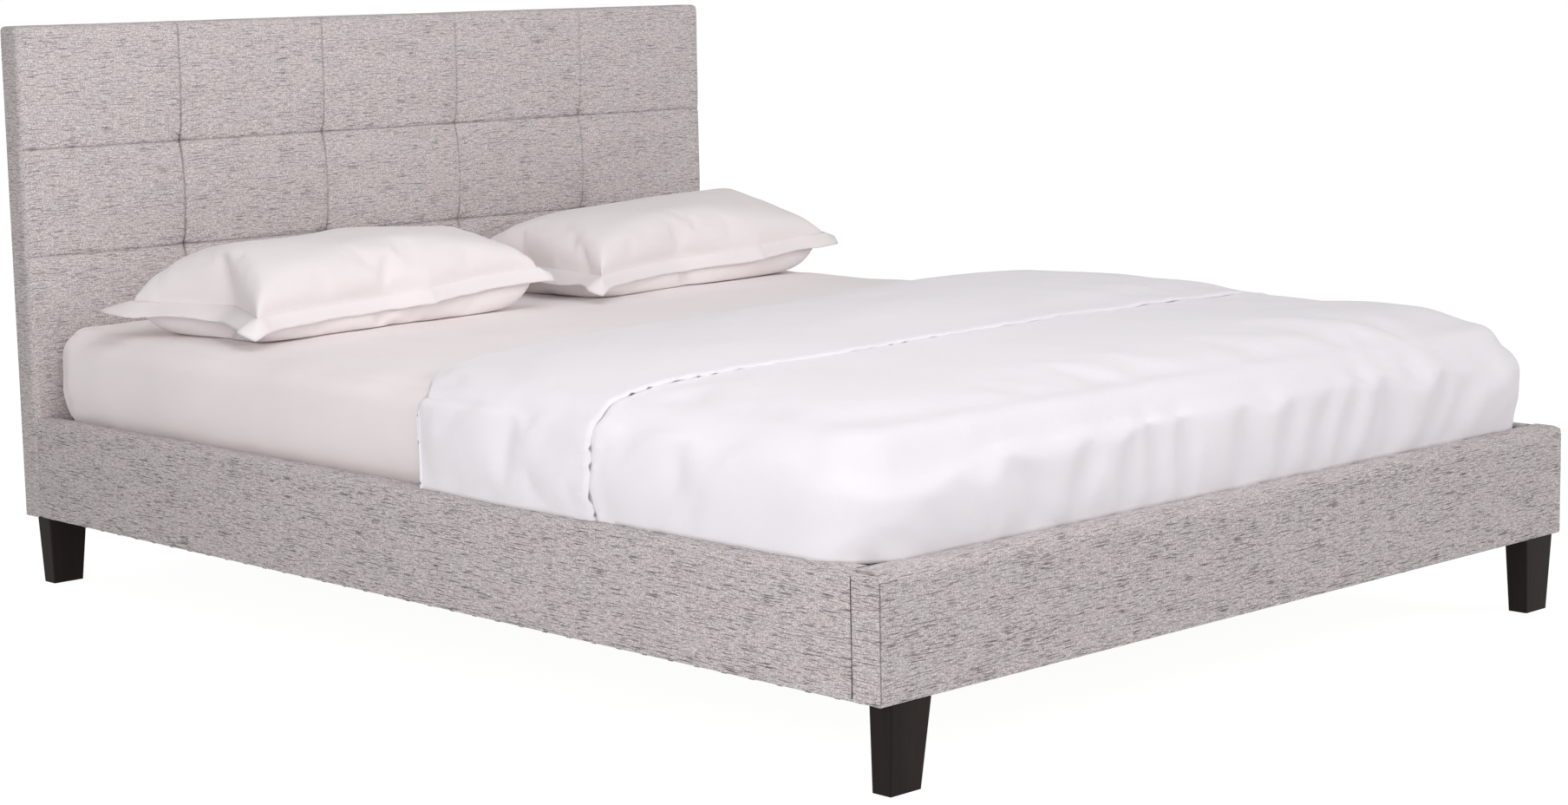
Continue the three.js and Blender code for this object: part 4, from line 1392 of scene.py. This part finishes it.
def off_wall(box, axis, inward, distance):
    """The place at a distance inwards from a box's outer wall."""
    return box[0 if inward > 0 else 1][axis] + inward * distance


def places_between(low, high, pitch):
    count = round((high - low) / pitch)
    return [low + (high - low) * index / count for index in range(count + 1)]


# %% Bolts and screws
IRON = 0.004
HANGER = 0.0025
FROM_CORNER = 0.029
ENDS = (("foot", 1), ("head", -1))
HANDS = (("left", 1), ("right", -1))

bolts = bmesh.new()
for (end, along), (side, inward) in product(ENDS, HANDS):
    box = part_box(f"corner_bracket_{end}_{side}")
    for z in inset(box, 2, 0.020):
        on_side = off_wall(box, 0, inward, IRON), off_wall(box, 1, along, FROM_CORNER), z
        on_end = off_wall(box, 0, inward, FROM_CORNER), off_wall(box, 1, along, IRON), z
        add_head(bolts, on_side, (inward, 0, 0), BOLT)
        add_head(bolts, on_end, (0, along, 0), BOLT)
make_hardware("corner_bolts", bolts)

screws = bmesh.new()
for side, inward in HANDS:
    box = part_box(f"slat_ledger_{side}")
    for y in places_between(*inset(box, 1, 0.07), 0.30):
        place = off_wall(box, 0, -inward, 0), y, (box[0].z + box[1].z) / 2
        add_head(screws, place, (inward, 0, 0), SCREW)
for end, along in ENDS:
    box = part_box(f"beam_hanger_{end}")
    for x, z in product(inset(box, 0, 0.010), inset(box, 2, 0.018)):
        add_head(screws, (x, off_wall(box, 1, along, HANGER), z), (0, along, 0), SCREW)
make_hardware("wood_screws", screws)

# %% Staples
ALONG_X, ALONG_Y, UPRIGHT, DOWN = (1, 0, 0), (0, 1, 0), (0, 0, 1), (0, 0, -1)
RAIL_PITCH = 0.055
BACK_PITCH = 0.065

staples = bmesh.new()
for side, inward in HANDS:
    low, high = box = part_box(f"side_rail_cover_{side}")
    x, ys = (low.x + high.x) / 2, places_between(*inset(box, 1, 0.03), RAIL_PITCH)
    add_staples(staples, (x - 0.013, x + 0.013), ys, [rail_bottom], ALONG_Y, DOWN)
    low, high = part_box(f"slat_webbing_{side}")
    for slat in range(1, 14):
        ys = inset(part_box(f"slat_{slat:02d}"), 1, 0.018)
        add_staples(staples, [(low.x + high.x) / 2], ys, [low.z], ALONG_X, DOWN)
xs, y = places_between(-0.685, 0.685, RAIL_PITCH), (rail_low.y + rail_high.y) / 2
add_staples(staples, xs, (y - 0.015, y + 0.015), [rail_bottom], ALONG_X, DOWN)
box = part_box("headboard_back_cloth")
back = [box[1].y]
across, up = (places_between(*inset(box, *edge), BACK_PITCH) for edge in ((0, 0.02), (2, 0.05)))
add_staples(staples, across, back, inset(box, 2, 0.008), ALONG_X, ALONG_Y)
add_staples(staples, inset(box, 0, 0.008), back, up, UPRIGHT, ALONG_Y)
make_hardware("cloth_staples", staples)

# %% [markdown]
# ## Last checks
#
# The size of the finished bed is written beside the frame's, so that the cloth is seen to stay
# where the frame allows.

# %% Finish
visual_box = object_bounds()
sizes = {"cad": cad_box, "visual": visual_box}
for name, (low, high) in sizes.items():
    print(name, [round(v, 4) for v in low], [round(v, 4) for v in high])
